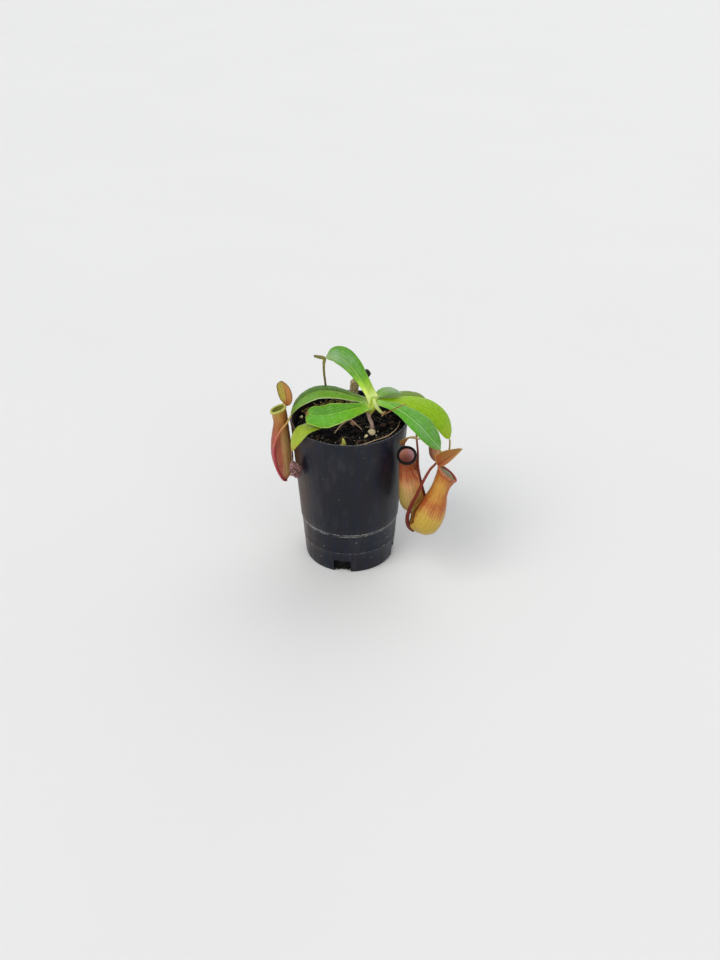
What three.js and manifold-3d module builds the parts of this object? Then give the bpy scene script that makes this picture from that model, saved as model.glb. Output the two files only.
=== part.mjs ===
// A young tropical pitcher plant in a black nursery tube pot.
// Units are millimetres, +Z is up, and the pot stands on z = 0 about the origin.
// The front of the pot faces -Y.

import * as THREE from 'three';
import { mergeVertices } from 'three/addons/utils/BufferGeometryUtils.js';
import Module from 'manifold-3d';

const wasm = await Module();
wasm.setup();

// ---- driving dimensions -------------------------------------------------------------------

const POT = {
  height: 101.45,
  rimRadius: 37.5,
  baseRadius: 29.85,
  wall: 1.1,
  floor: 1.4,
  ledgeZ: 30.5,
  ledgeStep: 0.5,
  rimBead: 0.3,
  rimBeadHeight: 1.6,
  segments: 56,
};

const SLOT = { count: 4, firstAngle: -99.4, width: 11.3, height: 9.2, innerRadius: 24.6 };

const SOIL = { clearance: 0.3, bottomZ: 1.75, level: 94.3, rings: 9, sectors: 36 };

const BLADE = 0.7;
const CUP_WALL = 0.85;
const GAP = 0.3;

// ---- small helpers ------------------------------------------------------------------------

const vec = (p) => new THREE.Vector3(p[0], p[1], p[2]);

function curveOf(points) {
  return new THREE.CatmullRomCurve3(points.map(vec), false, 'centripetal');
}

function smoothLookup(table, t) {
  let i = 0;
  while (i < table.length - 2 && t > table[i + 1][0]) i += 1;
  const [t0, a] = table[i];
  const [t1, b] = table[i + 1];
  const s = Math.min(Math.max((t - t0) / (t1 - t0), 0), 1);
  const slope = (k) => {
    const lo = table[Math.max(k - 1, 0)];
    const hi = table[Math.min(k + 1, table.length - 1)];
    return (hi[1] - lo[1]) / (hi[0] - lo[0]);
  };
  const span = t1 - t0;
  const s2 = s * s;
  const s3 = s2 * s;
  return (2 * s3 - 3 * s2 + 1) * a + (s3 - 2 * s2 + s) * span * slope(i)
    + (3 * s2 - 2 * s3) * b + (s3 - s2) * span * slope(i + 1);
}

function blendVectors(list, t) {
  const x = t * (list.length - 1);
  const i = Math.min(Math.floor(x), list.length - 2);
  return vec(list[i]).lerp(vec(list[i + 1]), x - i).normalize();
}

function geometryOf(points, faces) {
  const geometry = new THREE.BufferGeometry();
  const flat = points.flatMap((p) => [p.x, p.y, p.z]);
  geometry.setAttribute('position', new THREE.Float32BufferAttribute(flat, 3));
  geometry.setIndex(faces.flat());
  return geometry;
}

function toManifold(geometry) {
  const bare = geometry.clone();
  bare.deleteAttribute('normal');
  bare.deleteAttribute('uv');
  const welded = mergeVertices(bare, 1e-4);
  return new wasm.Manifold(new wasm.Mesh({
    numProp: 3,
    vertProperties: new Float32Array(welded.attributes.position.array),
    triVerts: new Uint32Array(welded.index.array),
  }));
}

function fromManifold(solid) {
  const mesh = solid.getMesh();
  const geometry = new THREE.BufferGeometry();
  const position = new THREE.BufferAttribute(new Float32Array(mesh.vertProperties), mesh.numProp);
  geometry.setAttribute('position', position);
  geometry.setIndex(new THREE.BufferAttribute(new Uint32Array(mesh.triVerts), 1));
  return geometry;
}

// A closed slab along a spine: the same grid on both faces, joined round the margin.
function bladeGeometry(leaf) {
  const { spine, ups, widths, camber = 0, ripple = 0, waves = 2, rows = 12, cols = 4 } = leaf;
  const thickness = leaf.thickness ?? BLADE;
  const curve = curveOf(spine);
  const middle = [];
  for (let i = 0; i <= rows; i += 1) {
    const t = i / rows;
    const centre = curve.getPointAt(t);
    const along = curve.getTangentAt(t);
    const side = along.clone().cross(blendVectors(ups, t)).normalize();
    const up = side.clone().cross(along).normalize();
    for (let j = 0; j <= cols; j += 1) {
      const s = (2 * j) / cols - 1;
      const half = smoothLookup(widths, t) * (s > 0 ? (leaf.plus ?? 1) : (leaf.minus ?? 1));
      const wave = ripple * Math.sin(2 * Math.PI * waves * t + (s > 0 ? 0 : 2)) * s * s;
      const lift = -camber * half * s * s + wave;
      middle.push({
        p: centre.clone().addScaledVector(side, half * s).addScaledVector(up, lift),
        up,
      });
    }
  }
  return slabFromGrid(middle, rows, cols, thickness);
}

function gridNormal(middle, rows, cols, i, j) {
  const at = (a, b) => middle[a * (cols + 1) + b].p;
  const along = at(Math.min(i + 1, rows), j).clone().sub(at(Math.max(i - 1, 0), j));
  const across = at(i, Math.min(j + 1, cols)).clone().sub(at(i, Math.max(j - 1, 0)));
  return across.cross(along).normalize();
}

function slabFromGrid(middle, rows, cols, thickness) {
  const top = [];
  const bottom = [];
  for (let i = 0; i <= rows; i += 1) {
    for (let j = 0; j <= cols; j += 1) {
      const normal = gridNormal(middle, rows, cols, i, j);
      const { p } = middle[i * (cols + 1) + j];
      top.push(p.clone().addScaledVector(normal, thickness / 2));
      bottom.push(p.clone().addScaledVector(normal, -thickness / 2));
    }
  }
  const count = top.length;
  const id = (i, j) => i * (cols + 1) + j;
  const faces = [];
  for (let i = 0; i < rows; i += 1) {
    for (let j = 0; j < cols; j += 1) {
      const [a, b, c, d] = [id(i, j), id(i, j + 1), id(i + 1, j + 1), id(i + 1, j)];
      faces.push([a, b, c], [a, c, d]);
      faces.push([count + a, count + c, count + b], [count + a, count + d, count + c]);
    }
  }
  const border = [];
  for (let j = 0; j < cols; j += 1) border.push(id(0, j));
  for (let i = 0; i < rows; i += 1) border.push(id(i, cols));
  for (let j = cols; j > 0; j -= 1) border.push(id(rows, j));
  for (let i = rows; i > 0; i -= 1) border.push(id(i, 0));
  border.forEach((a, k) => {
    const b = border[(k + 1) % border.length];
    faces.push([a, count + a, b], [b, count + a, count + b]);
  });
  return geometryOf([...top, ...bottom], faces);
}

// A closed round bar along a path, its radius read from a table of [share of length, radius].
function tubeGeometry({ path, radii, sides = 7, rows = 16, lumps = 0 }) {
  const curve = curveOf(path);
  const frames = curve.computeFrenetFrames(rows, false);
  const points = [];
  for (let i = 0; i <= rows; i += 1) {
    const t = i / rows;
    const centre = curve.getPointAt(t);
    for (let k = 0; k < sides; k += 1) {
      const angle = (2 * Math.PI * k) / sides;
      const swell = 1 + lumps * Math.sin(7.3 * i + 2.9 * k);
      const radius = smoothLookup(radii, t) * swell;
      points.push(centre.clone()
        .addScaledVector(frames.normals[i], Math.cos(angle) * radius)
        .addScaledVector(frames.binormals[i], Math.sin(angle) * radius));
    }
  }
  const faces = ringFaces(rows + 1, sides, 0);
  const start = points.push(curve.getPointAt(0)) - 1;
  const end = points.push(curve.getPointAt(1)) - 1;
  for (let k = 0; k < sides; k += 1) {
    const next = (k + 1) % sides;
    faces.push([start, next, k], [end, rows * sides + k, rows * sides + next]);
  }
  return geometryOf(points, faces);
}

function ringFaces(rings, sides, first, flip = false) {
  const faces = [];
  for (let i = 0; i < rings - 1; i += 1) {
    for (let k = 0; k < sides; k += 1) {
      const a = first + i * sides + k;
      const b = first + i * sides + ((k + 1) % sides);
      const [c, d] = [b + sides, a + sides];
      faces.push(...(flip ? [[a, c, b], [a, d, c]] : [[a, b, c], [a, c, d]]));
    }
  }
  return faces;
}

// ---- pitcher parts ------------------------------------------------------------------------

// Ring planes follow the body's axis and turn to the mouth plane over the upper part.
function cupStation(cup, curve, t) {
  const centre = curve.getPointAt(t);
  const along = curve.getTangentAt(t);
  const turn = THREE.MathUtils.smoothstep(t, cup.turnFrom ?? 0.62, 1);
  const normal = along.lerp(vec(cup.mouth).normalize(), turn).normalize();
  const back = vec(cup.hinge);
  const e1 = back.addScaledVector(normal, -back.dot(normal)).normalize();
  const e2 = normal.clone().cross(e1);
  return { centre, normal, e1, e2 };
}

function cupRing(cup, curve, t, radius, sides) {
  const { centre, e1, e2 } = cupStation(cup, curve, t);
  const ring = [];
  for (let k = 0; k < sides; k += 1) {
    const angle = (2 * Math.PI * k) / sides;
    ring.push(centre.clone()
      .addScaledVector(e1, Math.cos(angle) * radius)
      .addScaledVector(e2, Math.sin(angle) * radius));
  }
  return ring;
}

function cupGeometry(cup) {
  const sides = cup.sides ?? 14;
  const rows = cup.rows ?? 12;
  const curve = curveOf(cup.axis);
  const points = [];
  const outer = [];
  for (let i = 1; i <= rows; i += 1) outer.push((i / rows) ** 1.15);
  outer.forEach((t) => points.push(...cupRing(cup, curve, t, smoothLookup(cup.radii, t), sides)));
  const inner = [...outer].reverse().filter((t) => t > cup.innerFrom);
  inner.forEach((t) => {
    points.push(...cupRing(cup, curve, t, smoothLookup(cup.radii, t) - CUP_WALL, sides));
  });
  const rings = outer.length + inner.length;
  const faces = ringFaces(rings, sides, 0);
  const base = points.push(curve.getPointAt(0)) - 1;
  const well = points.push(curve.getPointAt(inner[inner.length - 1] - 0.035)) - 1;
  const last = (rings - 1) * sides;
  for (let k = 0; k < sides; k += 1) {
    const next = (k + 1) % sides;
    faces.push([base, next, k], [well, last + k, last + next]);
  }
  return geometryOf(points, faces);
}

// The rolled lip rests a hair above the cup's edge.
function lipGeometry(cup, thick, sides = 6, steps = 20) {
  const curve = curveOf(cup.axis);
  const { centre, normal, e1, e2 } = cupStation(cup, curve, 1);
  const radius = smoothLookup(cup.radii, 1) - CUP_WALL / 2 + thick * 0.35;
  const lifted = centre.clone().addScaledVector(normal, GAP + thick);
  const points = [];
  for (let i = 0; i < steps; i += 1) {
    const angle = (2 * Math.PI * i) / steps;
    const out = e1.clone().multiplyScalar(Math.cos(angle)).addScaledVector(e2, Math.sin(angle));
    for (let k = 0; k < sides; k += 1) {
      const roll = (2 * Math.PI * k) / sides;
      points.push(lifted.clone()
        .addScaledVector(out, radius + Math.cos(roll) * thick)
        .addScaledVector(normal, Math.sin(roll) * thick));
    }
  }
  const faces = [];
  for (let i = 0; i < steps; i += 1) {
    for (let k = 0; k < sides; k += 1) {
      const a = i * sides + k;
      const b = i * sides + ((k + 1) % sides);
      const c = ((i + 1) % steps) * sides + ((k + 1) % sides);
      const d = ((i + 1) % steps) * sides + k;
      faces.push([a, c, b], [a, d, c]);
    }
  }
  return geometryOf(points, faces);
}

// ---- pot and soil -------------------------------------------------------------------------

function potOuterRadius(z) {
  const { baseRadius, rimRadius, height, ledgeZ, ledgeStep } = POT;
  const slope = (rimRadius - baseRadius - ledgeStep) / height;
  return baseRadius + slope * z + (z > ledgeZ ? ledgeStep : 0);
}

function potGeometry() {
  const { height, wall, floor, ledgeZ, baseRadius, rimBead, rimBeadHeight, segments } = POT;
  const above = ledgeZ + 0.5;
  const bead = height - rimBeadHeight;
  const outline = [
    [0, 0],
    [baseRadius - 0.8, 0],
    [baseRadius, 0.8],
    [potOuterRadius(ledgeZ), ledgeZ],
    [potOuterRadius(above), above],
    [potOuterRadius(bead), bead],
    [potOuterRadius(bead) + rimBead, bead + 0.3],
    [potOuterRadius(height), height - 0.3],
    [potOuterRadius(height) - 0.3, height],
    [potOuterRadius(height) - wall, height],
    [potOuterRadius(above) - wall, above],
    [potOuterRadius(ledgeZ) - wall, ledgeZ],
    [potOuterRadius(floor) - wall, floor],
    [0, floor],
  ];
  const lathe = new THREE.LatheGeometry(outline.map(([r, z]) => new THREE.Vector2(r, z)), segments);
  lathe.rotateX(Math.PI / 2);
  let solid = toManifold(lathe);
  for (let i = 0; i < SLOT.count; i += 1) {
    const angle = THREE.MathUtils.degToRad(SLOT.firstAngle + (360 / SLOT.count) * i);
    const depth = baseRadius + 6 - SLOT.innerRadius;
    const box = new THREE.BoxGeometry(depth, SLOT.width, SLOT.height + 1);
    box.translate(SLOT.innerRadius + depth / 2, 0, (SLOT.height - 1) / 2);
    box.rotateZ(angle);
    solid = solid.subtract(toManifold(box));
  }
  return fromManifold(solid);
}

function soilHeight(x, y) {
  const mound = 1.3 * Math.exp(-((x - 13) ** 2 + (y + 6) ** 2) / 160);
  const coarse = 0.75 * Math.sin(0.31 * x + 1.1) * Math.cos(0.27 * y - 0.4);
  const fine = 0.55 * Math.sin(0.83 * x - 0.51 * y + 2.2) + 0.4 * Math.cos(0.47 * x + 0.97 * y);
  return SOIL.level + mound + coarse + fine;
}

function soilBody() {
  const { clearance, bottomZ, rings, sectors } = SOIL;
  const inset = POT.wall + clearance;
  const ledge = POT.ledgeZ + 0.5;
  const side = [
    [potOuterRadius(bottomZ) - inset, bottomZ],
    [potOuterRadius(POT.ledgeZ) - inset, POT.ledgeZ + 0.2],
    [potOuterRadius(ledge + 0.7) - inset, ledge + 0.7],
  ];
  const points = [];
  const edge = potOuterRadius(SOIL.level - 2.5) - inset;
  const ringAt = (radius, height) => {
    for (let k = 0; k < sectors; k += 1) {
      const angle = (2 * Math.PI * k) / sectors;
      const [x, y] = [radius * Math.cos(angle), radius * Math.sin(angle)];
      points.push(new THREE.Vector3(x, y, height ?? soilHeight(x, y)));
    }
  };
  side.forEach(([radius, z]) => ringAt(radius, z));
  ringAt(edge, SOIL.level - 2.5);
  for (let i = 0; i < rings; i += 1) ringAt((edge - 0.35) * (1 - i / rings));
  const total = side.length + 1 + rings;
  const faces = ringFaces(total, sectors, 0);
  const bottom = points.push(new THREE.Vector3(0, 0, bottomZ)) - 1;
  const top = points.push(new THREE.Vector3(0, 0, soilHeight(0, 0))) - 1;
  const last = (total - 1) * sectors;
  for (let k = 0; k < sectors; k += 1) {
    const next = (k + 1) % sectors;
    faces.push([bottom, next, k], [top, last + k, last + next]);
  }
  return toManifold(geometryOf(points, faces));
}

// Bark chips and pale crumbs bedded in the surface: [x, y, length, width, height, turn].
const CHIPS = [
  [1.0, 9.0, 4.2, 3.0, 2.2, 20],
  [21.6, -2.5, 4.6, 3.0, 2.4, -25],
  [-23.0, 9.5, 5.0, 2.2, 1.8, 35],
  [-14.0, 20.0, 6.5, 2.6, 2.0, -12],
  [-4.0, 24.0, 5.0, 2.4, 2.2, 50],
  [9.0, 22.0, 4.0, 2.8, 2.0, 5],
  [-20.0, -17.0, 3.6, 2.6, 2.0, 60],
  [-13.0, -25.0, 3.2, 2.4, 2.2, 15],
  [-8.0, -28.0, 2.8, 2.2, 2.0, -40],
  [6.0, -22.0, 5.2, 2.2, 1.6, 70],
  [24.0, -13.0, 4.8, 2.0, 1.8, -60],
  [27.0, 4.0, 4.4, 2.6, 1.8, 25],
  [-29.0, -3.0, 4.6, 2.2, 1.8, 80],
];

function soilGeometry() {
  let solid = soilBody();
  CHIPS.forEach(([x, y, length, width, height, turn], index) => {
    const chip = new THREE.IcosahedronGeometry(0.5, 0);
    chip.scale(length * 1.2, width * 1.2, height * 1.2);
    chip.rotateX(0.3 * Math.sin(index * 2.1));
    chip.rotateZ(THREE.MathUtils.degToRad(turn));
    chip.translate(x, y, soilHeight(x, y) + height * 0.18);
    solid = solid.add(toManifold(chip));
  });
  return fromManifold(solid);
}

// ---- leaves -------------------------------------------------------------------------------

const LEAVES = {
  leaf_top: {
    color: '#4f9a2b',
    spine: [[14.04, -7.84, 119.7], [11.9, -6.67, 124.83], [7.8, -5, 131.9], [2.5, -3, 139.4],
      [-3, -1.5, 144.1], [-8.3, 0, 145.2], [-14.1, 1, 142]],
    ups: [[0.55, -0.7, 0.4], [0.4, -0.72, 0.55], [0.05, -0.62, 0.78], [-0.35, -0.5, 0.8]],
    widths: [[0, 3.2], [0.15, 3.6], [0.35, 4.4], [0.55, 5.7], [0.75, 6.3], [0.9, 4.8], [1, 0.7]],
    camber: 0.12,
  },
  leaf_left: {
    color: '#3f7d2e',
    spine: [[12.52, -7.42, 116.18], [3.88, -4.53, 117.77], [-7.5, -1.4, 119.9],
      [-18.7, 0, 119.9], [-27.7, -1, 116.4], [-33.8, -3, 110.9], [-36.6, -5, 105.2]],
    ups: [[0.1, -0.3, 0.95], [0, -0.25, 0.97], [-0.15, -0.25, 0.95], [-0.7, -0.35, 0.65]],
    widths: [[0, 1.4], [0.15, 2.7], [0.35, 5.0], [0.55, 6.2], [0.75, 5.4], [0.9, 3.0], [1, 0.6]],
    camber: 0.2,
  },
  leaf_front_left: {
    color: '#57a83c',
    spine: [[12.53, -10.19, 113.89], [3.85, -12.8, 113.7], [-5.5, -14.6, 112],
      [-14.6, -15.4, 110.4], [-21.5, -15.2, 110.2], [-26.2, -14.6, 111.4]],
    ups: [[0.15, -0.55, 0.82], [0.05, -0.52, 0.85], [-0.1, -0.5, 0.86], [0.1, -0.5, 0.86]],
    widths: [[0, 1.5], [0.15, 3.3], [0.35, 6.0], [0.55, 7.6], [0.75, 8.1], [0.9, 7.2], [1, 4.2]],
    camber: 0.06,
    ripple: 0.8,
    waves: 2.2,
    rows: 14,
  },
  leaf_over_rim: {
    color: '#8fb043',
    spine: [[10.4, -6.6, 110.3], [0.03, -8.5, 107.21], [-12, -12.5, 104.4],
      [-21.5, -17.5, 104.5], [-27.9, -22.1, 103.7], [-33, -24.9, 98.2], [-35.6, -25.4, 90.6]],
    ups: [[0, -0.2, 1], [0, -0.2, 1], [-0.3, -0.25, 0.9], [-0.8, -0.6, 0.25]],
    widths: [[0, 1.3], [0.3, 2.4], [0.5, 3.6], [0.68, 4.9], [0.84, 4.5], [0.94, 2.3], [1, 0.6]],
    plus: 1.3,
    camber: 0.1,
  },
  leaf_right_front: {
    color: '#3f8f35',
    spine: [[16.71, -10.04, 116.24], [25.37, -11.38, 114.88], [32.9, -14, 112.1],
      [43.5, -18, 104.6], [51.1, -20, 96.4], [57.2, -21, 89.4]],
    ups: [[0.1, -0.3, 0.95], [0.22, -0.38, 0.9], [0.4, -0.55, 0.74], [0.5, -0.65, 0.56]],
    widths: [[0, 1.4], [0.12, 2.4], [0.3, 5.0], [0.5, 7.9], [0.7, 9.0], [0.85, 8.2], [0.95, 5.2],
      [1, 0.6]],
    plus: 0.62,
    minus: 1.18,
    camber: 0.16,
    rows: 14,
  },
  leaf_right_back: {
    color: '#8db82c',
    spine: [[17.02, -7.48, 114.21], [20.9, -4.67, 114.7], [32.3, 1, 111.2], [43.9, 4, 106.8],
      [54.5, 6, 100], [61.9, 6, 90.7], [65.5, 6, 81.4]],
    ups: [[0.1, -0.3, 0.95], [0.15, -0.34, 0.92], [0.4, -0.45, 0.8], [0.72, -0.58, 0.36]],
    widths: [[0, 1.2], [0.15, 2.4], [0.35, 5.4], [0.55, 7.8], [0.7, 8.4], [0.85, 7.2], [0.95, 4.4],
      [1, 0.6]],
    plus: 0.82,
    minus: 1.16,
    camber: 0.12,
    rows: 14,
  },
  leaf_back_small: {
    color: '#4b7f46',
    spine: [[15.9, -6.57, 118.66], [21.86, -1.15, 119.95], [27.8, 4, 118.4], [33, 8, 114.3]],
    ups: [[0, -0.2, 1], [0.1, -0.2, 1], [0.5, 0.1, 0.9]],
    widths: [[0, 1.2], [0.25, 2.9], [0.55, 4.0], [0.85, 2.8], [1, 0.6]],
    camber: 0.15,
    rows: 9,
  },
  leaf_back_olive: {
    color: '#6d7d33',
    spine: [[14.59, -5.13, 112.78], [24.14, 4.83, 112.83], [32.8, 13, 110.4], [40.8, 18, 108.2],
      [46.9, 20, 105.8], [50.2, 21, 102.7]],
    ups: [[0, -0.1, 1], [0.1, -0.2, 1], [0.6, 0.1, 0.8]],
    widths: [[0, 1.1], [0.2, 2.2], [0.45, 3.4], [0.7, 4.2], [0.9, 2.8], [1, 0.6]],
    camber: 0.15,
    rows: 10,
  },
};

const LIDS = {
  pitcher_left_lid: {
    color: '#b9672f',
    spine: [[-39.48, -1.92, 111.1], [-39.74, -2.3, 115.73], [-41, -3.2, 122],
      [-43.4, -5, 129]],
    ups: [[0.55, 0.75, 0.1], [0.5, 0.8, 0.2], [0.5, 0.75, 0.35]],
    widths: [[0, 1.2], [0.25, 3.2], [0.55, 4.4], [0.85, 3.7], [1, 1.7]],
    camber: -0.22,
    rows: 8,
  },
  pitcher_middle_lid: {
    color: '#7c5a2c',
    spine: [[33.75, -23.42, 94.49], [33.66, -25.13, 98.56], [38.8, -27, 101.9], [43.7, -28, 100.8]],
    ups: [[-0.35, 0.4, 0.85], [-0.1, 0.42, 0.9], [0.2, 0.4, 0.9]],
    widths: [[0, 1.1], [0.3, 3.2], [0.6, 4.6], [0.85, 3.6], [1, 1.2]],
    camber: 0.12,
    rows: 8,
  },
  pitcher_right_lid: {
    color: '#b5643a',
    spine: [[56.19, -33.96, 86.78], [60.22, -33.66, 89.81], [65, -33.4, 93.2], [69.5, -33.2, 96.9]],
    ups: [[-0.55, -0.1, 0.83], [-0.5, -0.06, 0.85], [-0.55, -0.02, 0.83]],
    widths: [[0, 1.4], [0.2, 4.4], [0.4, 5.8], [0.7, 4.6], [0.9, 2.4], [1, 1.0]],
    plus: 0.6,
    minus: 1.3,
    camber: 0.1,
    rows: 8,
  },
  pitcher_small_lid: {
    color: '#a5603c',
    spine: [[51.18, -1.45, 91.12], [51.45, -2.68, 93.11], [54.2, -5.4, 94], [56.6, -8, 93.2]],
    ups: [[-0.4, 0.5, 0.75], [0, 0.1, 1], [0.2, 0, 1]],
    widths: [[0, 0.8], [0.3, 1.9], [0.6, 2.4], [0.85, 1.8], [1, 0.7]],
    rows: 6,
    cols: 2,
  },
};

// ---- pitchers -----------------------------------------------------------------------------

const CUPS = {
  pitcher_left: {
    color: '#9c5636',
    lipColor: '#a9b23d',
    lip: 0.7,
    axis: [[-39.3, -3.6, 55.0], [-40.8, -3.3, 60.1], [-42.6, -3.2, 68.3], [-43.5, -3.0, 77.8],
      [-43.8, -2.6, 89], [-43.5, -2.2, 99.9], [-44.4, -3.2, 107.6]],
    radii: [[0, 0], [0.07, 2.6], [0.16, 4.8], [0.3, 6.6], [0.45, 6.8], [0.65, 5.7], [0.82, 4.7],
      [1, 4.9]],
    mouth: [-0.36, 0.02, 0.93],
    hinge: [0.9, 0.3, 0.2],
    innerFrom: 0.16,
  },
  pitcher_middle: {
    color: '#b0883a',
    lipColor: '#15151a',
    lip: 1.1,
    axis: [[40.6, -24, 45.4], [40.1, -24, 49.7], [39.9, -24, 56.3], [39.2, -24, 65.2],
      [37.8, -24.2, 73.4], [36.4, -25.2, 80.8], [36.0, -27.6, 88.6]],
    radii: [[0, 0], [0.05, 4.2], [0.13, 6.9], [0.27, 8.1], [0.45, 7.7], [0.62, 6.6], [0.78, 5.3],
      [0.9, 5.1], [1, 6.0]],
    mouth: [-0.08, -0.62, 0.78],
    hinge: [-0.4, 0.7, 0.6],
    innerFrom: 0.08,
  },
  pitcher_right: {
    color: '#c49a3c',
    lipColor: '#b5404a',
    lip: 0.8,
    axis: [[43.4, -39.6, 41.2], [45.8, -39.4, 44.6], [48.6, -39.2, 49.0], [51.2, -39, 54.6],
      [53.6, -38.8, 61.2], [56.3, -38.2, 69.2], [59.1, -37.6, 76.4], [61.1, -36.8, 80.8]],
    radii: [[0, 0], [0.035, 3.4], [0.1, 6.9], [0.18, 9.2], [0.28, 10.1], [0.4, 9.5], [0.54, 7.6],
      [0.7, 5.6], [0.86, 5.2], [1, 6.6]],
    mouth: [0.62, 0.1, 0.78],
    hinge: [-0.72, 0.33, 0.6],
    innerFrom: 0.1,
    rows: 14,
    sides: 16,
    turnFrom: 0.75,
  },
  pitcher_small: {
    color: '#a86a4a',
    lipColor: '#9a3f3a',
    lip: 0.6,
    axis: [[56.8, -4, 70.2], [55.8, -4, 74.5], [55, -4, 79.7], [54.4, -4, 85.0], [53.8, -4.2, 88.8]],
    radii: [[0, 0], [0.08, 1.9], [0.3, 3.6], [0.55, 3.7], [0.8, 3.1], [1, 3.3]],
    mouth: [0.1, -0.3, 0.93],
    hinge: [-0.6, 0.7, 0.3],
    innerFrom: 0.2,
    rows: 9,
    sides: 12,
  },
};

// ---- stems, tendrils and dried pieces -----------------------------------------------------

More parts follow.
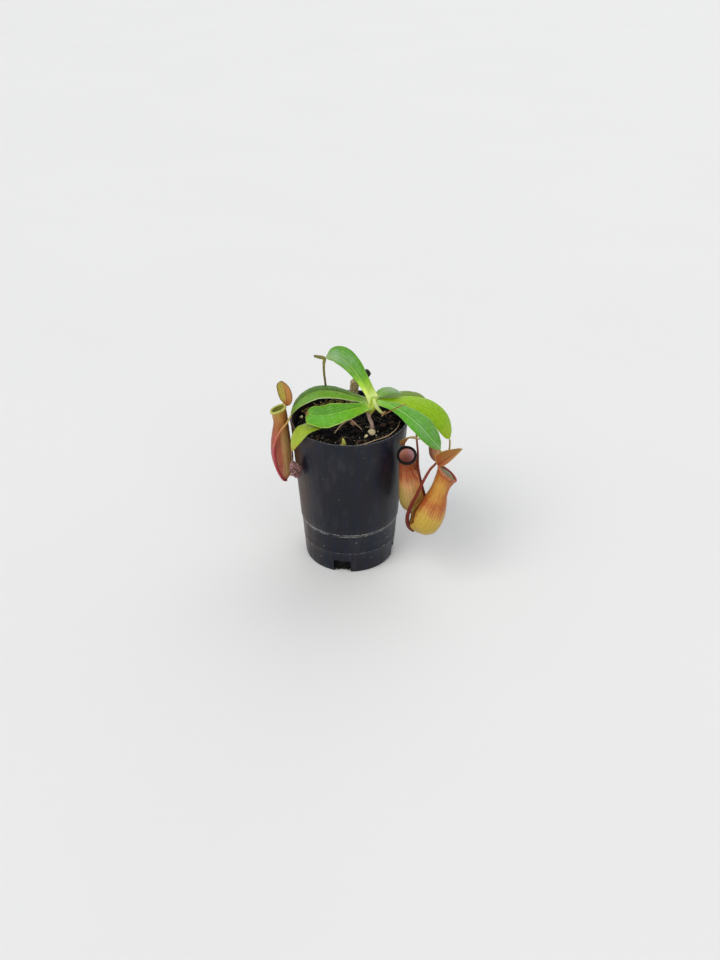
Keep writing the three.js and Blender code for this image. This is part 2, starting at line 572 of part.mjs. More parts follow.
const BARS = {
  stem: {
    color: '#8a6a58',
    path: [[14.54, -6.47, 96.53], [13.6, -6.8, 100.4], [11.6, -7.4, 104.6], [12.2, -7.9, 108.6]],
    radii: [[0, 1.9], [0.4, 1.5], [0.75, 1.6], [1, 1.8]],
    rows: 8,
    sides: 10,
    lumps: 0.06,
  },
  crown: {
    color: '#b7c64a',
    path: [[12.6, -8, 109.19], [14.2, -8, 113.6], [15.5, -8.3, 119.4]],
    radii: [[0, 1.7], [0.4, 2.2], [0.8, 1.7], [1, 1.0]],
    rows: 7,
    sides: 10,
  },
  leaf_young: {
    color: '#b4c67e',
    path: [[15.46, -10.62, 119.56], [16.65, -13, 116.35], [19.2, -14.2, 113], [22, -14.8, 110.9]],
    radii: [[0, 1.0], [0.4, 1.2], [0.8, 0.95], [1, 0.7]],
    rows: 8,
    sides: 8,
  },
  tendril_young: {
    color: '#9a5a34',
    path: [[22.54, -15.37, 111.55], [27.1, -17.6, 115.6], [31.2, -18.2, 118.3],
      [35.2, -18.2, 119.9]],
    radii: [[0, 0.6], [0.5, 0.5], [1, 0.45]],
    rows: 8,
    sides: 6,
  },
  tendril_dry_top: {
    color: '#6f6a3a',
    path: [[-21.4, 1, 143.4], [-18.2, 1.1, 142.6], [-13.93, 1.24, 141.15],
      [-14.26, 2.57, 135.97], [-14.7, 5, 129], [-14.6, 9, 119], [-14.8, 12.4, 107],
      [-14.97, 13.22, 94.94]],
    radii: [[0, 0.6], [0.08, 0.9], [0.14, 0.9], [0.25, 0.75], [1, 0.6]],
    rows: 18,
    sides: 6,
  },
  tendril_left: {
    color: '#a8564a',
    path: [[-36.66, -5.36, 104.83], [-39.4, -8.4, 100.8], [-41.6, -9.8, 98.6],
      [-45.4, -10.6, 92.6], [-47.8, -10.2, 82.8], [-47.2, -9.8, 71.3], [-44.8, -8.3, 62.5],
      [-42, -6.2, 56], [-39.64, -4.18, 54.31]],
    radii: [[0, 0.55], [0.2, 0.7], [0.5, 0.95], [0.9, 0.9], [1, 0.7]],
    rows: 20,
    sides: 7,
  },
  tendril_middle: {
    color: '#8c3528',
    path: [[50.84, 21.2, 102.1], [50.9, 17, 98.6], [48.2, 9, 96.8], [45.8, 0, 96.6],
      [43.6, -8.5, 97.4], [42.4, -14.5, 96.6], [42.6, -18.4, 93], [43.2, -21.5, 87.2],
      [43.2, -26.6, 81], [44.4, -29.2, 74.5], [46.4, -29.2, 66], [48.3, -28.2, 58],
      [47.6, -27, 50], [44.6, -25.6, 44.6], [39.58, -23.51, 43.79]],
    radii: [[0, 0.5], [0.4, 0.55], [0.7, 0.75], [0.95, 0.8], [1, 0.6]],
    rows: 28,
    sides: 6,
  },
  tendril_right: {
    color: '#8e2b22',
    path: [[57.55, -21.59, 88.71], [56, -26.6, 85.6], [53, -32.6, 85.2], [50, -37, 84.4],
      [46.3, -40.4, 78.4], [42.4, -42.2, 69], [38.4, -43, 59.7], [37, -43, 53.7],
      [37.5, -42.2, 47.8], [39.6, -40.8, 42.9], [42.15, -39.77, 41.28]],
    radii: [[0, 0.6], [0.25, 0.8], [0.6, 1.05], [0.9, 1.25], [1, 0.9]],
    rows: 22,
    sides: 8,
  },
  tendril_small: {
    color: '#a1563a',
    path: [[65.65, 5.93, 80.86], [65.4, 4, 75.2], [63, 0, 69], [60, -2.6, 67.2],
      [57.03, -4.09, 69.93]],
    radii: [[0, 0.55], [0.6, 0.6], [1, 0.5]],
    rows: 12,
    sides: 6,
  },
  dried_pitcher_left: {
    color: '#5a4238',
    path: [[-35.72, -25.39, 90.12], [-35.5, -23.6, 84], [-35, -22, 79.4], [-34.2, -21.4, 76],
      [-33.6, -21.2, 72.4], [-32.6, -21, 69]],
    radii: [[0, 0.45], [0.35, 0.6], [0.52, 2.0], [0.7, 3.1], [0.86, 2.7], [1, 1.2]],
    rows: 12,
    sides: 9,
    lumps: 0.16,
  },
  old_pitcher_body: {
    color: '#8d7a52',
    path: [[2.46, 24.47, 95.16], [2.6, 24.6, 103], [3.2, 24.2, 110], [3.2, 24, 116]],
    radii: [[0, 1.0], [0.3, 2.0], [0.65, 2.8], [0.9, 2.5], [1, 1.2]],
    rows: 8,
    sides: 9,
    lumps: 0.08,
  },
  old_pitcher_hood: {
    color: '#2a2420',
    path: [[4.23, 23.89, 116.66], [7.65, 23.95, 119.82], [11, 24, 121.8], [12.6, 24, 120],
      [12.2, 24, 117.6]],
    radii: [[0, 0.6], [0.5, 0.9], [0.8, 1.3], [1, 0.7]],
    rows: 10,
    sides: 7,
  },
  sprout: {
    color: '#a9a84a',
    path: [[-3.4, -30.2, 95.34], [-3, -29.6, 98.34], [-3.5, -29, 101.74]],
    radii: [[0, 1.2], [0.5, 1.1], [1, 0.5]],
    rows: 5,
    sides: 7,
  },
  root_front: {
    color: '#8b7158',
    path: [[1.5, -32, 96.09], [8.2, -31.4, 95.69], [16.2, -26, 95.79], [24.6, -20.6, 95.89],
      [31.5, -10, 96.49], [33.4, -1, 96.89]],
    radii: [[0, 0.4], [0.5, 0.5], [1, 0.4]],
    rows: 14,
    sides: 5,
  },
  root_centre: {
    color: '#7a5f4c',
    path: [[-9, -12, 96.09], [-5, -3, 96.79], [0.5, 3.6, 96.79], [4.4, -2, 96.69],
      [8.6, -9.6, 96.79]],
    radii: [[0, 0.4], [0.5, 0.5], [1, 0.4]],
    rows: 12,
    sides: 5,
  },
};

// ---- assembly -----------------------------------------------------------------------------

const group = new THREE.Group();

function addPart(name, geometry, color, roughness = 0.5) {
  const material = new THREE.MeshStandardMaterial({ color, roughness, metalness: 0 });
  const mesh = new THREE.Mesh(geometry, material);
  mesh.name = name;
  group.add(mesh);
}

addPart('pot', potGeometry(), '#2b2a33', 0.35);
addPart('soil', soilGeometry(), '#1d1814', 0.95);
Object.entries(BARS).forEach(([name, bar]) => addPart(name, tubeGeometry(bar), bar.color));
Object.entries(LEAVES).forEach(([name, leaf]) => addPart(name, bladeGeometry(leaf), leaf.color));
Object.entries(LIDS).forEach(([name, lid]) => addPart(name, bladeGeometry(lid), lid.color));
Object.entries(CUPS).forEach(([name, cup]) => {
  addPart(`${name}_cup`, cupGeometry(cup), cup.color);
  addPart(`${name}_lip`, lipGeometry(cup, cup.lip), cup.lipColor, 0.25);
});

export default group;
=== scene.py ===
"""Looks of a young tropical pitcher plant in a black nursery tube pot.

Every size in the tables is in millimetres. The pot stands on z = 0 and its front faces -Y.
"""

import logging
import math
from collections.abc import Callable
from dataclasses import dataclass
from enum import Enum
from typing import ClassVar

import bmesh
import bpy
import numpy as np
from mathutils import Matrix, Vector, noise


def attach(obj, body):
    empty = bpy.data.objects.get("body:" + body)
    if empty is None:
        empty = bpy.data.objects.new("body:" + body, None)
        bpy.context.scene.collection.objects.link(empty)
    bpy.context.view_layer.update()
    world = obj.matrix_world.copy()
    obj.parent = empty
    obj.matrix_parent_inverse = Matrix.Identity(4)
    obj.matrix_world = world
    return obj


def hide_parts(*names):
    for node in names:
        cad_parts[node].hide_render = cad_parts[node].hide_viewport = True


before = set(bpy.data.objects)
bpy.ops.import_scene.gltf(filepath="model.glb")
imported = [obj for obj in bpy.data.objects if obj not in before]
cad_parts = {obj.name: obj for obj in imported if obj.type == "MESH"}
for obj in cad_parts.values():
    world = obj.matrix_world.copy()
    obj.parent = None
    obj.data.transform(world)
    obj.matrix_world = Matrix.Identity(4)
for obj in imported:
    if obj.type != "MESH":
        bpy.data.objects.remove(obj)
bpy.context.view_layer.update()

LOG = logging.getLogger("pitcher_plant")
MM = 0.001
TURN = 2 * math.pi
BODY = "root"

Array = np.ndarray
Point = tuple[float, float, float]
Path = tuple[Point, ...]
Table = tuple[tuple[float, float], ...]
Colour = tuple[float, float, float, float]
Stops = tuple[tuple[float, str], ...]
Bits = tuple[tuple[float, ...], ...]


class Layer(Enum):
    """The two sets of surface coordinates that each shaped piece carries."""

    SHARE = "share"
    REACH = "reach"


def tone(code: str) -> Colour:
    """Turn a screen colour such as "#4f9a2b" into the linear colour that a shader takes.

    Args:
        code: Six hexadecimal digits after a hash.

    Returns:
        Linear red, green and blue, and an alpha of 1.
    """
    shares = [int(code[i:i + 2], 16) / 255 for i in (1, 3, 5)]
    linear = [c / 12.92 if c <= 0.04045 else ((c + 0.055) / 1.055) ** 2.4 for c in shares]
    return (linear[0], linear[1], linear[2], 1.0)


# ---- shader expressions ---------------------------------------------------------------------


def operator(operation: str, swapped: bool = False) -> Callable[..., "Value"]:
    """Make a method that works its values out in one Math node.

    Args:
        operation: The Math node's operation.
        swapped: The other value comes first.

    Returns:
        The method.
    """

    def method(self: "Value", *others: "Value | float") -> "Value":
        """Add the Math node."""
        values = (*others, self) if swapped else (self, *others)
        return self.graph.node("ShaderNodeMath", {"operation": operation}, *values)

    return method


class Value:
    """One number in a shader. Its operators add the Math nodes that work it out."""

    def __init__(self, graph: "Graph", socket: bpy.types.NodeSocket) -> None:
        """Keep the graph that the socket belongs to."""
        self.graph = graph
        self.socket = socket

    __add__ = operator("ADD")
    __radd__ = operator("ADD", swapped=True)
    __sub__ = operator("SUBTRACT")
    __rsub__ = operator("SUBTRACT", swapped=True)
    __mul__ = operator("MULTIPLY")
    __rmul__ = operator("MULTIPLY", swapped=True)
    __truediv__ = operator("DIVIDE")
    __abs__ = operator("ABSOLUTE")
    sine = operator("SINE")
    cosine = operator("COSINE")
    at_least = operator("MAXIMUM")
    at_most = operator("MINIMUM")

    def ease(self, low: float, high: float) -> "Value":
        """Rise smoothly from 0 at low to 1 at high, or fall where low is the larger.

        Args:
            low: Where the result is 0.
            high: Where the result is 1.

        Returns:
            A value from 0 to 1.
        """
        first, last, start, end = (low, high, 0.0, 1.0) if low < high else (high, low, 1.0, 0.0)
        smooth = {"interpolation_type": "SMOOTHSTEP"}
        return self.graph.node("ShaderNodeMapRange", smooth, self, first, last, start, end)

    def within(self, low: float, high: float, soft: float) -> "Value":
        """1 between low and high and 0 beyond, with borders that are this soft."""
        return self.ease(low - soft, low + soft) * self.ease(high + soft, high - soft)

    def stray(self, amount: float) -> "Value":
        """Noise from 0 to 1, moved and scaled to lie evenly about 0."""
        return (self - 0.5) * amount


class Graph:
    """The node tree of one material."""

    def __init__(self, name: str) -> None:
        """Start a material with only a surface shader in it.

        Args:
            name: The material's name.
        """
        self.material = bpy.data.materials.new(name)
        self.material.use_nodes = True
        self.tree = self.material.node_tree
        self.tree.nodes.clear()
        self.shader = self.tree.nodes.new("ShaderNodeBsdfPrincipled")
        output = self.tree.nodes.new("ShaderNodeOutputMaterial")
        self.tree.links.new(self.shader.outputs[0], output.inputs[0])
        self.spot = self.place()
        self.colour: Value | None = None

    def _join(self, socket: bpy.types.NodeSocket, value: object) -> None:
        """Link or set one input socket.

        Args:
            socket: The input.
            value: A value to link, a number or colour to set, or None to leave it alone.
        """
        if isinstance(value, Value):
            self.tree.links.new(value.socket, socket)
        elif value is not None:
            socket.default_value = value

    def node(
        self,
        kind: str,
        settings: dict[str, object] | None = None,
        *values: object,
        out: int | str = 0,
        **named: object,
    ) -> Value:
        """Add a node.

        Args:
            kind: The node's type.
            settings: Its own settings; "stops" holds a colour ramp's places and colours.
            *values: Numbers, colours or values for its inputs, in order; None leaves one alone.
            out: The output that is returned.
            **named: Inputs by name, with "_" for a space.

        Returns:
            The chosen output.
        """
        made = self.tree.nodes.new(kind)
        for key, setting in (settings or {}).items():
            if key == "stops":
                self.fill_ramp(made.color_ramp, setting)
            else:
                setattr(made, key, setting)
        for socket, value in zip(made.inputs, values):
            self._join(socket, value)
        for key, value in named.items():
            self._join(made.inputs[key.replace("_", " ")], value)
        return Value(self, made.outputs[out])

    @staticmethod
    def fill_ramp(ramp: bpy.types.ColorRamp, stops: tuple[tuple[float, Colour], ...]) -> None:
        """Fill a colour ramp with its stops.

        Args:
            ramp: The ramp.
            stops: Its places and colours, in order.
        """
        while len(ramp.elements) < len(stops):
            ramp.elements.new(0.5)
        for element, (place, colour) in zip(ramp.elements, stops):
            element.position = place
            element.color = colour

    def ramp(self, value: Value, *stops: tuple[float, str]) -> Value:
        """Look a colour up along a ramp of screen colours."""
        made = tuple((place, tone(code)) for place, code in stops)
        return self.node("ShaderNodeValToRGB", {"stops": made}, value)

    def mix(self, share: Value | float, first: object, second: object) -> Value:
        """Blend two colours; a share of 1 gives the second.

        Args:
            share: From 0 to 1.
            first: A screen colour or a shader colour.
            second: The same.

        Returns:
            The blended colour.
        """
        first, second = (tone(c) if isinstance(c, str) else c for c in (first, second))
        made = self.tree.nodes.new("ShaderNodeMix")
        made.data_type = "RGBA"
        for key, value in ((0, share), (6, first), (7, second)):
            self._join(made.inputs[key], value)
        return Value(self, made.outputs[2])

    def shade(self, colour: Value, amount: Value) -> Value:
        """Multiply a colour by a number."""
        return self.node("ShaderNodeVectorMath", {"operation": "SCALE"}, colour, Scale=amount)

    def coordinates(self, layer: Layer) -> tuple[Value, Value]:
        """The two numbers of a coordinate layer."""
        made = self.node("ShaderNodeUVMap", {"uv_map": layer.value})
        return self.parts(made)[:2]

    def parts(self, vector: Value) -> tuple[Value, Value, Value]:
        """The three numbers of a vector.

        Args:
            vector: The vector.

        Returns:
            Its x, y and z.
        """
        split = self.tree.nodes.new("ShaderNodeSeparateXYZ")
        self._join(split.inputs[0], vector)
        return tuple(Value(self, out) for out in split.outputs)

    def vector(self, x: Value | float, y: Value | float, z: Value | float = 0.0) -> Value:
        """A vector from three numbers."""
        return self.node("ShaderNodeCombineXYZ", None, x, y, z)

    def place(self, stretch: Point = (1.0, 1.0, 1.0)) -> Value:
        """Where the point is on the plant, in millimetres, stretched along the axes.

        Args:
            stretch: Scale along x, y and z.

        Returns:
            The place as a vector.
        """
        spot = self.node("ShaderNodeTexCoord", out="Object")
        scale = tuple(s / MM for s in stretch)
        return self.node("ShaderNodeVectorMath", {"operation": "MULTIPLY"}, spot, scale)

    def grain(
        self, scale: float, detail: float = 3.0, rough: float = 0.55, where: Value | None = None,
    ) -> Value:
        """Smooth noise from 0 to 1, with its scale in cells for each millimetre or unit of where."""
        fine = {"Detail": detail, "Roughness": rough}
        return self.node("ShaderNodeTexNoise", None, Vector=where or self.spot, Scale=scale, **fine)

    def cells(self, scale: float, edges: bool = False) -> Value:
        """Distance to the nearest cell centre, or to the nearest cell edge."""
        kind = "DISTANCE_TO_EDGE" if edges else "F1"
        return self.node("ShaderNodeTexVoronoi", {"feature": kind}, Vector=self.spot, Scale=scale)

    def lay(self, share: Value | float, colour: object) -> None:
        """Lay a colour over the base colour, where the share is 1."""
        self.colour = self.mix(share, self.colour, colour)

    def dim(self, amount: Value) -> None:
        """Multiply the base colour by a number."""
        self.colour = self.shade(self.colour, amount)

    def finish(
        self,
        roughness: Value | float,
        height: Value | None = None,
        relief: float = 0.0,
        **fixed: object,
    ) -> bpy.types.Material:
        """Join the base colour and the rest to the surface shader.

        Args:
            roughness: From 0, glossy, to 1, matte.
            height: Height of the fine relief, from 0 to 1.
            relief: What a height of 1 stands for, in millimetres.
            **fixed: Settings of the shader that are the same all over.

        Returns:
            The finished material.
        """
        self._join(self.shader.inputs["Base Color"], self.colour)
        self._join(self.shader.inputs["Roughness"], roughness)
        if height is not None:
            bump = self.node("ShaderNodeBump", Strength=1.0, Distance=relief * MM, Height=height)
            self._join(self.shader.inputs["Normal"], bump)
        for key, value in fixed.items():
            self.shader.inputs[key.replace("_", " ")].default_value = value
        return self.material


# ---- finishes -------------------------------------------------------------------------------


def flesh(red: Point, depth: float, share: float = 0.15, gloss: float = 0.28) -> dict[str, object]:
    """Settings of the surface shader for living tissue.

    Args:
        red: How far red, green and blue light travel in it, as shares of the depth.
        depth: The depth in millimetres.
        share: How much light goes in.
        gloss: How strong reflections are.

    Returns:
        The settings by name.
    """
    return {
        "Specular_IOR_Level": gloss, "Subsurface_Weight": share,
        "Subsurface_Radius": red, "Subsurface_Scale": depth * MM,
    }


@dataclass(frozen=True)
class LeafFinish:
    """The glossy upper face, or the paler lower face, of one leaf.

    The ramp runs from the leaf's base to its tip. The second half is the one to the right of the
    midrib, looking from the base to the tip with the upper face up.
    """

    name: str
    ramp: Stops
    rib: str = "#b9cf6a"
    margin: str = "#a9c860"
    margin_at: float = 0.95
    # Strength of the painted sheen, a pale sky reflection laid into the colour.
    painted_sheen: float = 0.0
    half: str = "#6f9a3c"
    first_half: float = 0.0
    second_half: float = 0.0
    stripes: float = 0.3
    blemish: str = "#7a6a35"
    worn: str = "#8a6436"
    worn_tip: float = 0.0
    below: bool = False
    gloss: float = 0.3

    def make(self) -> bpy.types.Material:
        """Build the material.

        Returns:
            The material.
        """
        g = Graph(self.name)
        across, along = g.coordinates(Layer.SHARE)
        wide, far = g.coordinates(Layer.REACH)
        edge = abs(across * 2.0 - 1.0)
        cloud = g.grain(0.14)
        blotch = g.grain(0.42, 3.0, 0.6)
        speck = g.grain(1.5, 4.0, 0.65)
        g.colour = g.ramp(along + cloud.stray(0.24), *self.ramp)
        halves = across.ease(0.56, 0.44) * self.first_half + across.ease(0.44, 0.56) * self.second_half
        g.lay(halves * along.ease(0.0, 0.2) * along.ease(1.0, 0.85), self.half)
        nerves = self._nerves(edge, along, blotch)
        stripe = (edge * 31.0 + cloud * 9.0).sine().ease(-0.2, 1.0)
        stripe = stripe * along.ease(0.0, 0.12) * blotch.ease(0.3, 0.7)
        g.lay(stripe * self.stripes * 0.45 + nerves * self.stripes, self.rib)
        side = self._side_veins(abs(wide), far, cloud)
        g.lay(side * 0.10, self.rib)
        g.dim(0.66 + blotch * 0.46 + speck * 0.28)
        clasp = along.ease(0.16, 0.0) * (edge * 17.0 + blotch * 5.0).sine().ease(-0.6, 0.8)
        g.lay(clasp * 0.5, "#e6ecb4")
        taper = 1.0 - along * 0.55
        rib = (abs(wide) / taper + blotch.stray(0.2)).ease(0.75, 0.1)
        beside = (abs(wide) / taper).ease(1.6, 0.7)
        g.lay(beside * (1.0 - rib) * 0.28, g.shade(g.colour, 0.66 + cloud * 0.1))
        g.lay(rib * (0.8 if self.below else 0.55) * along.ease(0.02, 0.3), self.rib)
        near_edge = edge + blotch.stray(0.05)
        # Painted shade: a darker band just inside the margin.
        border = near_edge.ease(self.margin_at - 0.1, self.margin_at)
        g.lay(border * 0.4, g.shade(g.colour, 0.65 + cloud * 0.1))
        g.lay(near_edge.ease(self.margin_at, self.margin_at + 0.045) * 0.85, self.margin)
        # Painted sheen: a pale grey-blue sky reflection laid into the colour over the middle of the blade.
        if self.painted_sheen:
            pale = edge.ease(1.0, 0.35) * along.ease(0.25, 0.8) * cloud.ease(0.25, 0.62)
            g.lay(pale * self.painted_sheen, "#9fb8a2")
        spots = g.cells(0.42).ease(0.13, 0.06) * g.grain(0.1).ease(0.55, 0.62)
        g.lay(spots * 0.6, self.blemish)
        if self.worn_tip:
            worn = (along + blotch.stray(0.12)).ease(1.0 - self.worn_tip, 1.0 - self.worn_tip * 0.4)
            g.lay(worn, self.worn)
        height = speck * 0.3 - nerves * 0.4 - side * 0.4 - stripe * 0.25 + g.cells(2.4, True) * 0.35
        rough = self.gloss + speck.stray(0.2) + blotch.stray(0.16) + rib * 0.12 + spots * 0.2
        return g.finish(
            rough, height, 0.12 if self.below else 0.075,
            Coat_Weight=0.0 if self.below else 0.08, Coat_Roughness=0.2, IOR=1.45,
            **flesh((0.45, 1.0, 0.18), 0.7, 0.12, 0.19),
        )

    @staticmethod
    def _nerves(edge: Value, along: Value, blotch: Value) -> Value:
        """The few long veins that run beside the midrib, as a mask.

        Args:
            edge: 0 at the midrib and 1 at the margin.
            along: Place along the leaf.
            blotch: Noise.

        Returns:
            1 on a vein.
        """
        waver = edge + (along * 9.0 + 2.0).sine() * Blade.WANDER + blotch.stray(0.1)
        lines = [abs(waver - place).ease(0.07, 0.0) for place in Blade.VEINS]
        strong = blotch.ease(0.25, 0.65) * along.ease(0.99, 0.8)
        return lines[0].at_least(lines[1]).at_least(lines[2]) * strong

    @staticmethod
    def _side_veins(width: Value, far: Value, cloud: Value) -> Value:
        """Fine slanting veins from the midrib to the margin, as a mask."""
        slant = far * 3.3 - width * 2.1 + cloud * 2.4
        return slant.sine().ease(0.72, 1.0)


@dataclass(frozen=True)
class Patch:
    """A tone laid over part of a pitcher's skin: where it lies round and along, and how strong."""

    at: float
    wide: float
    low: float
    high: float
    colour: str
    share: float


@dataclass(frozen=True)
class Seam:
    """A dark line along a pitcher, from its place round the foot to its place round the lip."""

    foot: float
    lip: float
    low: float
    high: float
    share: float = 0.7
    wide: float = 0.012


@dataclass(frozen=True)
class PitcherFinish:
    """The skin of one pitcher. The ramp runs from its foot to its lip."""

    name: str
    ramp: Stops
    red: str
    band: tuple[float, float, float, float]
    band_share: float
    neck_share: float
    patches: tuple[Patch, ...] = ()
    seams: tuple[Seam, ...] = ()
    mottle: str = "#b39a58"
    mottling: float = 0.3
    DARK: ClassVar[str] = "#5f1c14"
    STRANDS: ClassVar[float] = 6.0

    def make(self) -> bpy.types.Material:
        """Build the material.

        Returns:
            The material.
        """
        g = Graph(self.name)
        round_, up = g.coordinates(Layer.SHARE)
        cloud = g.grain(0.2)
        blotch = g.grain(0.55, 4.0, 0.6)
        speck = g.grain(1.8, 4.0, 0.7)
        turn = round_ * TURN
        ring = (turn.cosine(), turn.sine())
        round_place = g.vector(ring[0] * self.STRANDS, ring[1] * self.STRANDS, up * 1.7)
        strands = g.grain(1.0, 4.0, 0.62, round_place)
        g.colour = g.ramp(up + cloud.stray(0.10) + strands.stray(0.10), *self.ramp)
        for patch in self.patches:
            g.lay(self._patch(round_, up, blotch, patch), patch.colour)
        mottled = g.grain(0.8, 4.0, 0.7).ease(0.5, 0.64)
        g.lay(mottled * self.mottling, self.mottle)
        g.lay(self._red(ring, up, strands, cloud), self.red)
        flecks = g.grain(1.7, 3.0, 0.7, g.place((1.0, 1.0, 0.45))).ease(0.56, 0.68)
        g.lay(flecks * 0.35, self.red)
        veins = (turn * 24.0 + cloud * 6.0 + (up * 9.0).sine() * 0.7).sine().ease(0.5, 1.0)
        g.lay(veins * 0.16, self.red)
        for seam in self.seams:
            g.lay(self._seam(round_, up, blotch, seam), self.DARK)
        dots = g.cells(0.8).ease(0.22, 0.08) * blotch.ease(0.46, 0.6)
        g.lay(dots * 0.45, self.DARK)
        g.dim(0.74 + blotch * 0.28 + speck * 0.24)
        height = speck * 0.4 + veins * 0.5 + strands * 0.6 + g.grain(4.0, 2.0) * 0.25
        rough = 0.36 + speck.stray(0.2) + blotch.stray(0.2)
        return g.finish(
            rough, height, 0.11, Coat_Weight=0.08, Coat_Roughness=0.22,
            **flesh((1.0, 0.5, 0.2), 0.8, 0.12, 0.26),
        )

    def _red(self, ring: tuple[Value, Value], up: Value, strands: Value, cloud: Value) -> Value:
        """Where the red flush lies, as a mask: streaks in a band, and a fainter neck above it.

        Args:
            ring: Cosine and sine of the turn.
            up: Place along.
            strands: Streaky noise.
            cloud: Soft noise.

        Returns:
            1 where it is red.
        """
        start, full, fall, end = self.band
        band = up.ease(start, full) * up.ease(end, fall)
        fine = (ring[0] * 29.0 + ring[1] * 23.0 + cloud * 5.0).sine().ease(-0.2, 0.9)
        streaks = (strands + fine * 0.22).ease(0.50, 0.70)
        neck = up.ease(fall, end) * strands.ease(0.46, 0.64)
        return (band * streaks * self.band_share).at_least(neck * self.neck_share)

    @staticmethod
    def _patch(round_: Value, up: Value, blotch: Value, patch: Patch) -> Value:
        """One patch as a mask with soft, uneven borders.

        Args:
            round_: Place round.
            up: Place along.
            blotch: Noise.
            patch: The patch.

        Returns:
            Its strength.
        """
        away = abs(round_ - patch.at)
        away = away.at_most(1.0 - away) + blotch.stray(0.06)
        inside = away.ease(patch.wide, patch.wide * 0.35)
        return inside * up.within(patch.low, patch.high, 0.08) * patch.share

    @staticmethod
    def _seam(round_: Value, up: Value, blotch: Value, seam: Seam) -> Value:
        """One dark line as a mask.

        Args:
            round_: Place round.
            up: Place along.
            blotch: Noise.
            seam: The line.

        Returns:
            Its strength.
        """
        away = abs(round_ - up * (seam.lip - seam.foot) - seam.foot)
        away = away.at_most(1.0 - away) + blotch.stray(0.012)
        return away.ease(seam.wide, seam.wide * 0.2) * up.within(seam.low, seam.high, 0.04) * seam.share


@dataclass(frozen=True)
class ThroatFinish:
    """The waxy inside of a pitcher."""

    name: str
    deep: str
    mid: str
    rim: str
    flush: str

    def make(self) -> bpy.types.Material:
        """Build the material.

        Returns:
            The material.
        """
        g = Graph(self.name)
        round_, up = g.coordinates(Layer.SHARE)
        cloud = g.grain(0.3)
        speck = g.grain(2.2, 3.0, 0.6)
        g.colour = g.ramp(up + cloud.stray(0.15), (0.2, self.deep), (0.66, self.mid), (0.96, self.rim))
        side = (round_ * TURN + 1.1).sine().ease(-0.2, 0.9)
        g.lay(side * cloud.ease(0.3, 0.6) * 0.7, self.flush)
        g.dim(0.85 + speck * 0.3)
        height = speck * 0.6 + (round_ * 150.0).sine() * 0.15
        return g.finish(0.45 + speck * 0.15, height, 0.06, Coat_Weight=0.1)


@dataclass(frozen=True)
class LipFinish:
    """The glossy ribbed lip of a pitcher."""

    name: str
    body: str
    rib: str
    outer: str
    outer_share: float
    gloss: float = 0.2
    polish: float = 0.3

    def make(self) -> bpy.types.Material:
        """Build the material.

        Returns:
            The material.
        """
        g = Graph(self.name)
        turn, roll = g.coordinates(Layer.SHARE)
        cloud = g.grain(0.5)
        stripe = (turn * (TURN * RolledLip.RIBS)).cosine()
        g.colour = g.mix(stripe.ease(-0.3, 0.9) * cloud.ease(0.2, 0.6) * 0.6, self.body, self.rib)
        under = (roll - 0.5) * 2.0
        skirt = abs(under).ease(0.45, 0.9) * cloud.ease(0.25, 0.6)
        g.lay(skirt * self.outer_share, self.outer)
        g.dim(0.8 + cloud * 0.4)
        height = stripe * 0.5 + g.grain(3.0) * 0.3
        return g.finish(
            self.gloss + cloud * 0.14, height, 0.05,
            Coat_Weight=self.polish, Coat_Roughness=0.12, Specular_IOR_Level=self.polish,
        )


@dataclass(frozen=True)
class LidFinish:
    """The veined lid of a pitcher. The ramp runs from its hinge to its tip."""

    name: str
    ramp: Stops
    vein: str
    margin: str
    half: str
    first_half: float = 0.0
    second_half: float = 0.0
    rim: float = 0.9

    def make(self) -> bpy.types.Material:
        """Build the material.

        Returns:
            The material.
        """
        g = Graph(self.name)
        across, along = g.coordinates(Layer.SHARE)
        cloud = g.grain(0.3)
        speck = g.grain(1.8, 4.0, 0.65)
        edge = abs(across * 2.0 - 1.0)
        g.colour = g.ramp(along + cloud.stray(0.2), *self.ramp)
        halves = across.ease(0.62, 0.34) * self.first_half + across.ease(0.38, 0.66) * self.second_half
        g.lay(halves * along.ease(0.05, 0.3), self.half)
        fan = (edge * 19.0 + cloud * 2.5 - along * 3.0).sine().ease(0.4, 0.95)
        g.lay(fan * 0.35, self.vein)
        rib = edge.ease(0.14, 0.03) * along.ease(0.9, 0.5)
        g.lay(rib * 0.5, self.vein)
        dots = g.cells(0.85).ease(0.24, 0.1)
        g.lay(dots * 0.4, self.vein)
        outline = edge.ease(self.rim - 0.06, self.rim + 0.07).at_least(along.ease(0.95, 0.99))
        g.lay(outline * 0.85, self.margin)
        g.dim(0.80 + speck * 0.34)
        height = fan * 0.6 + speck * 0.3 + dots * 0.4
        return g.finish(0.40 + speck.stray(0.2), height, 0.09, **flesh((1.0, 0.5, 0.2), 0.7))


@dataclass(frozen=True)
class StalkFinish:
    """Living tendril, crown or young leaf. The ramp runs from its base to its tip."""

    name: str
    ramp: tuple[tuple[float, str], ...]
    fleck: str
    gloss: float = 0.4
    flecks: float = 0.4

    def make(self) -> bpy.types.Material:
        """Build the material.

        Returns:
            The material.
        """
        g = Graph(self.name)
        round_, along = g.coordinates(Layer.SHARE)
        cloud = g.grain(0.4)
        speck = g.grain(2.4, 4.0, 0.65)
        g.colour = g.ramp(along + cloud.stray(0.16), *self.ramp)
        strand = (round_ * (TURN * 7.0) + cloud * 3.0).sine().ease(0.1, 0.9)
        g.lay(strand * 0.18, self.fleck)
        g.lay(speck.ease(0.56, 0.7) * self.flecks, self.fleck)
        g.dim(0.82 + speck * 0.36)
        height = strand * 0.5 + speck * 0.5
        return g.finish(self.gloss + speck.stray(0.2), height, 0.08, **flesh((1.0, 0.6, 0.3), 0.8))


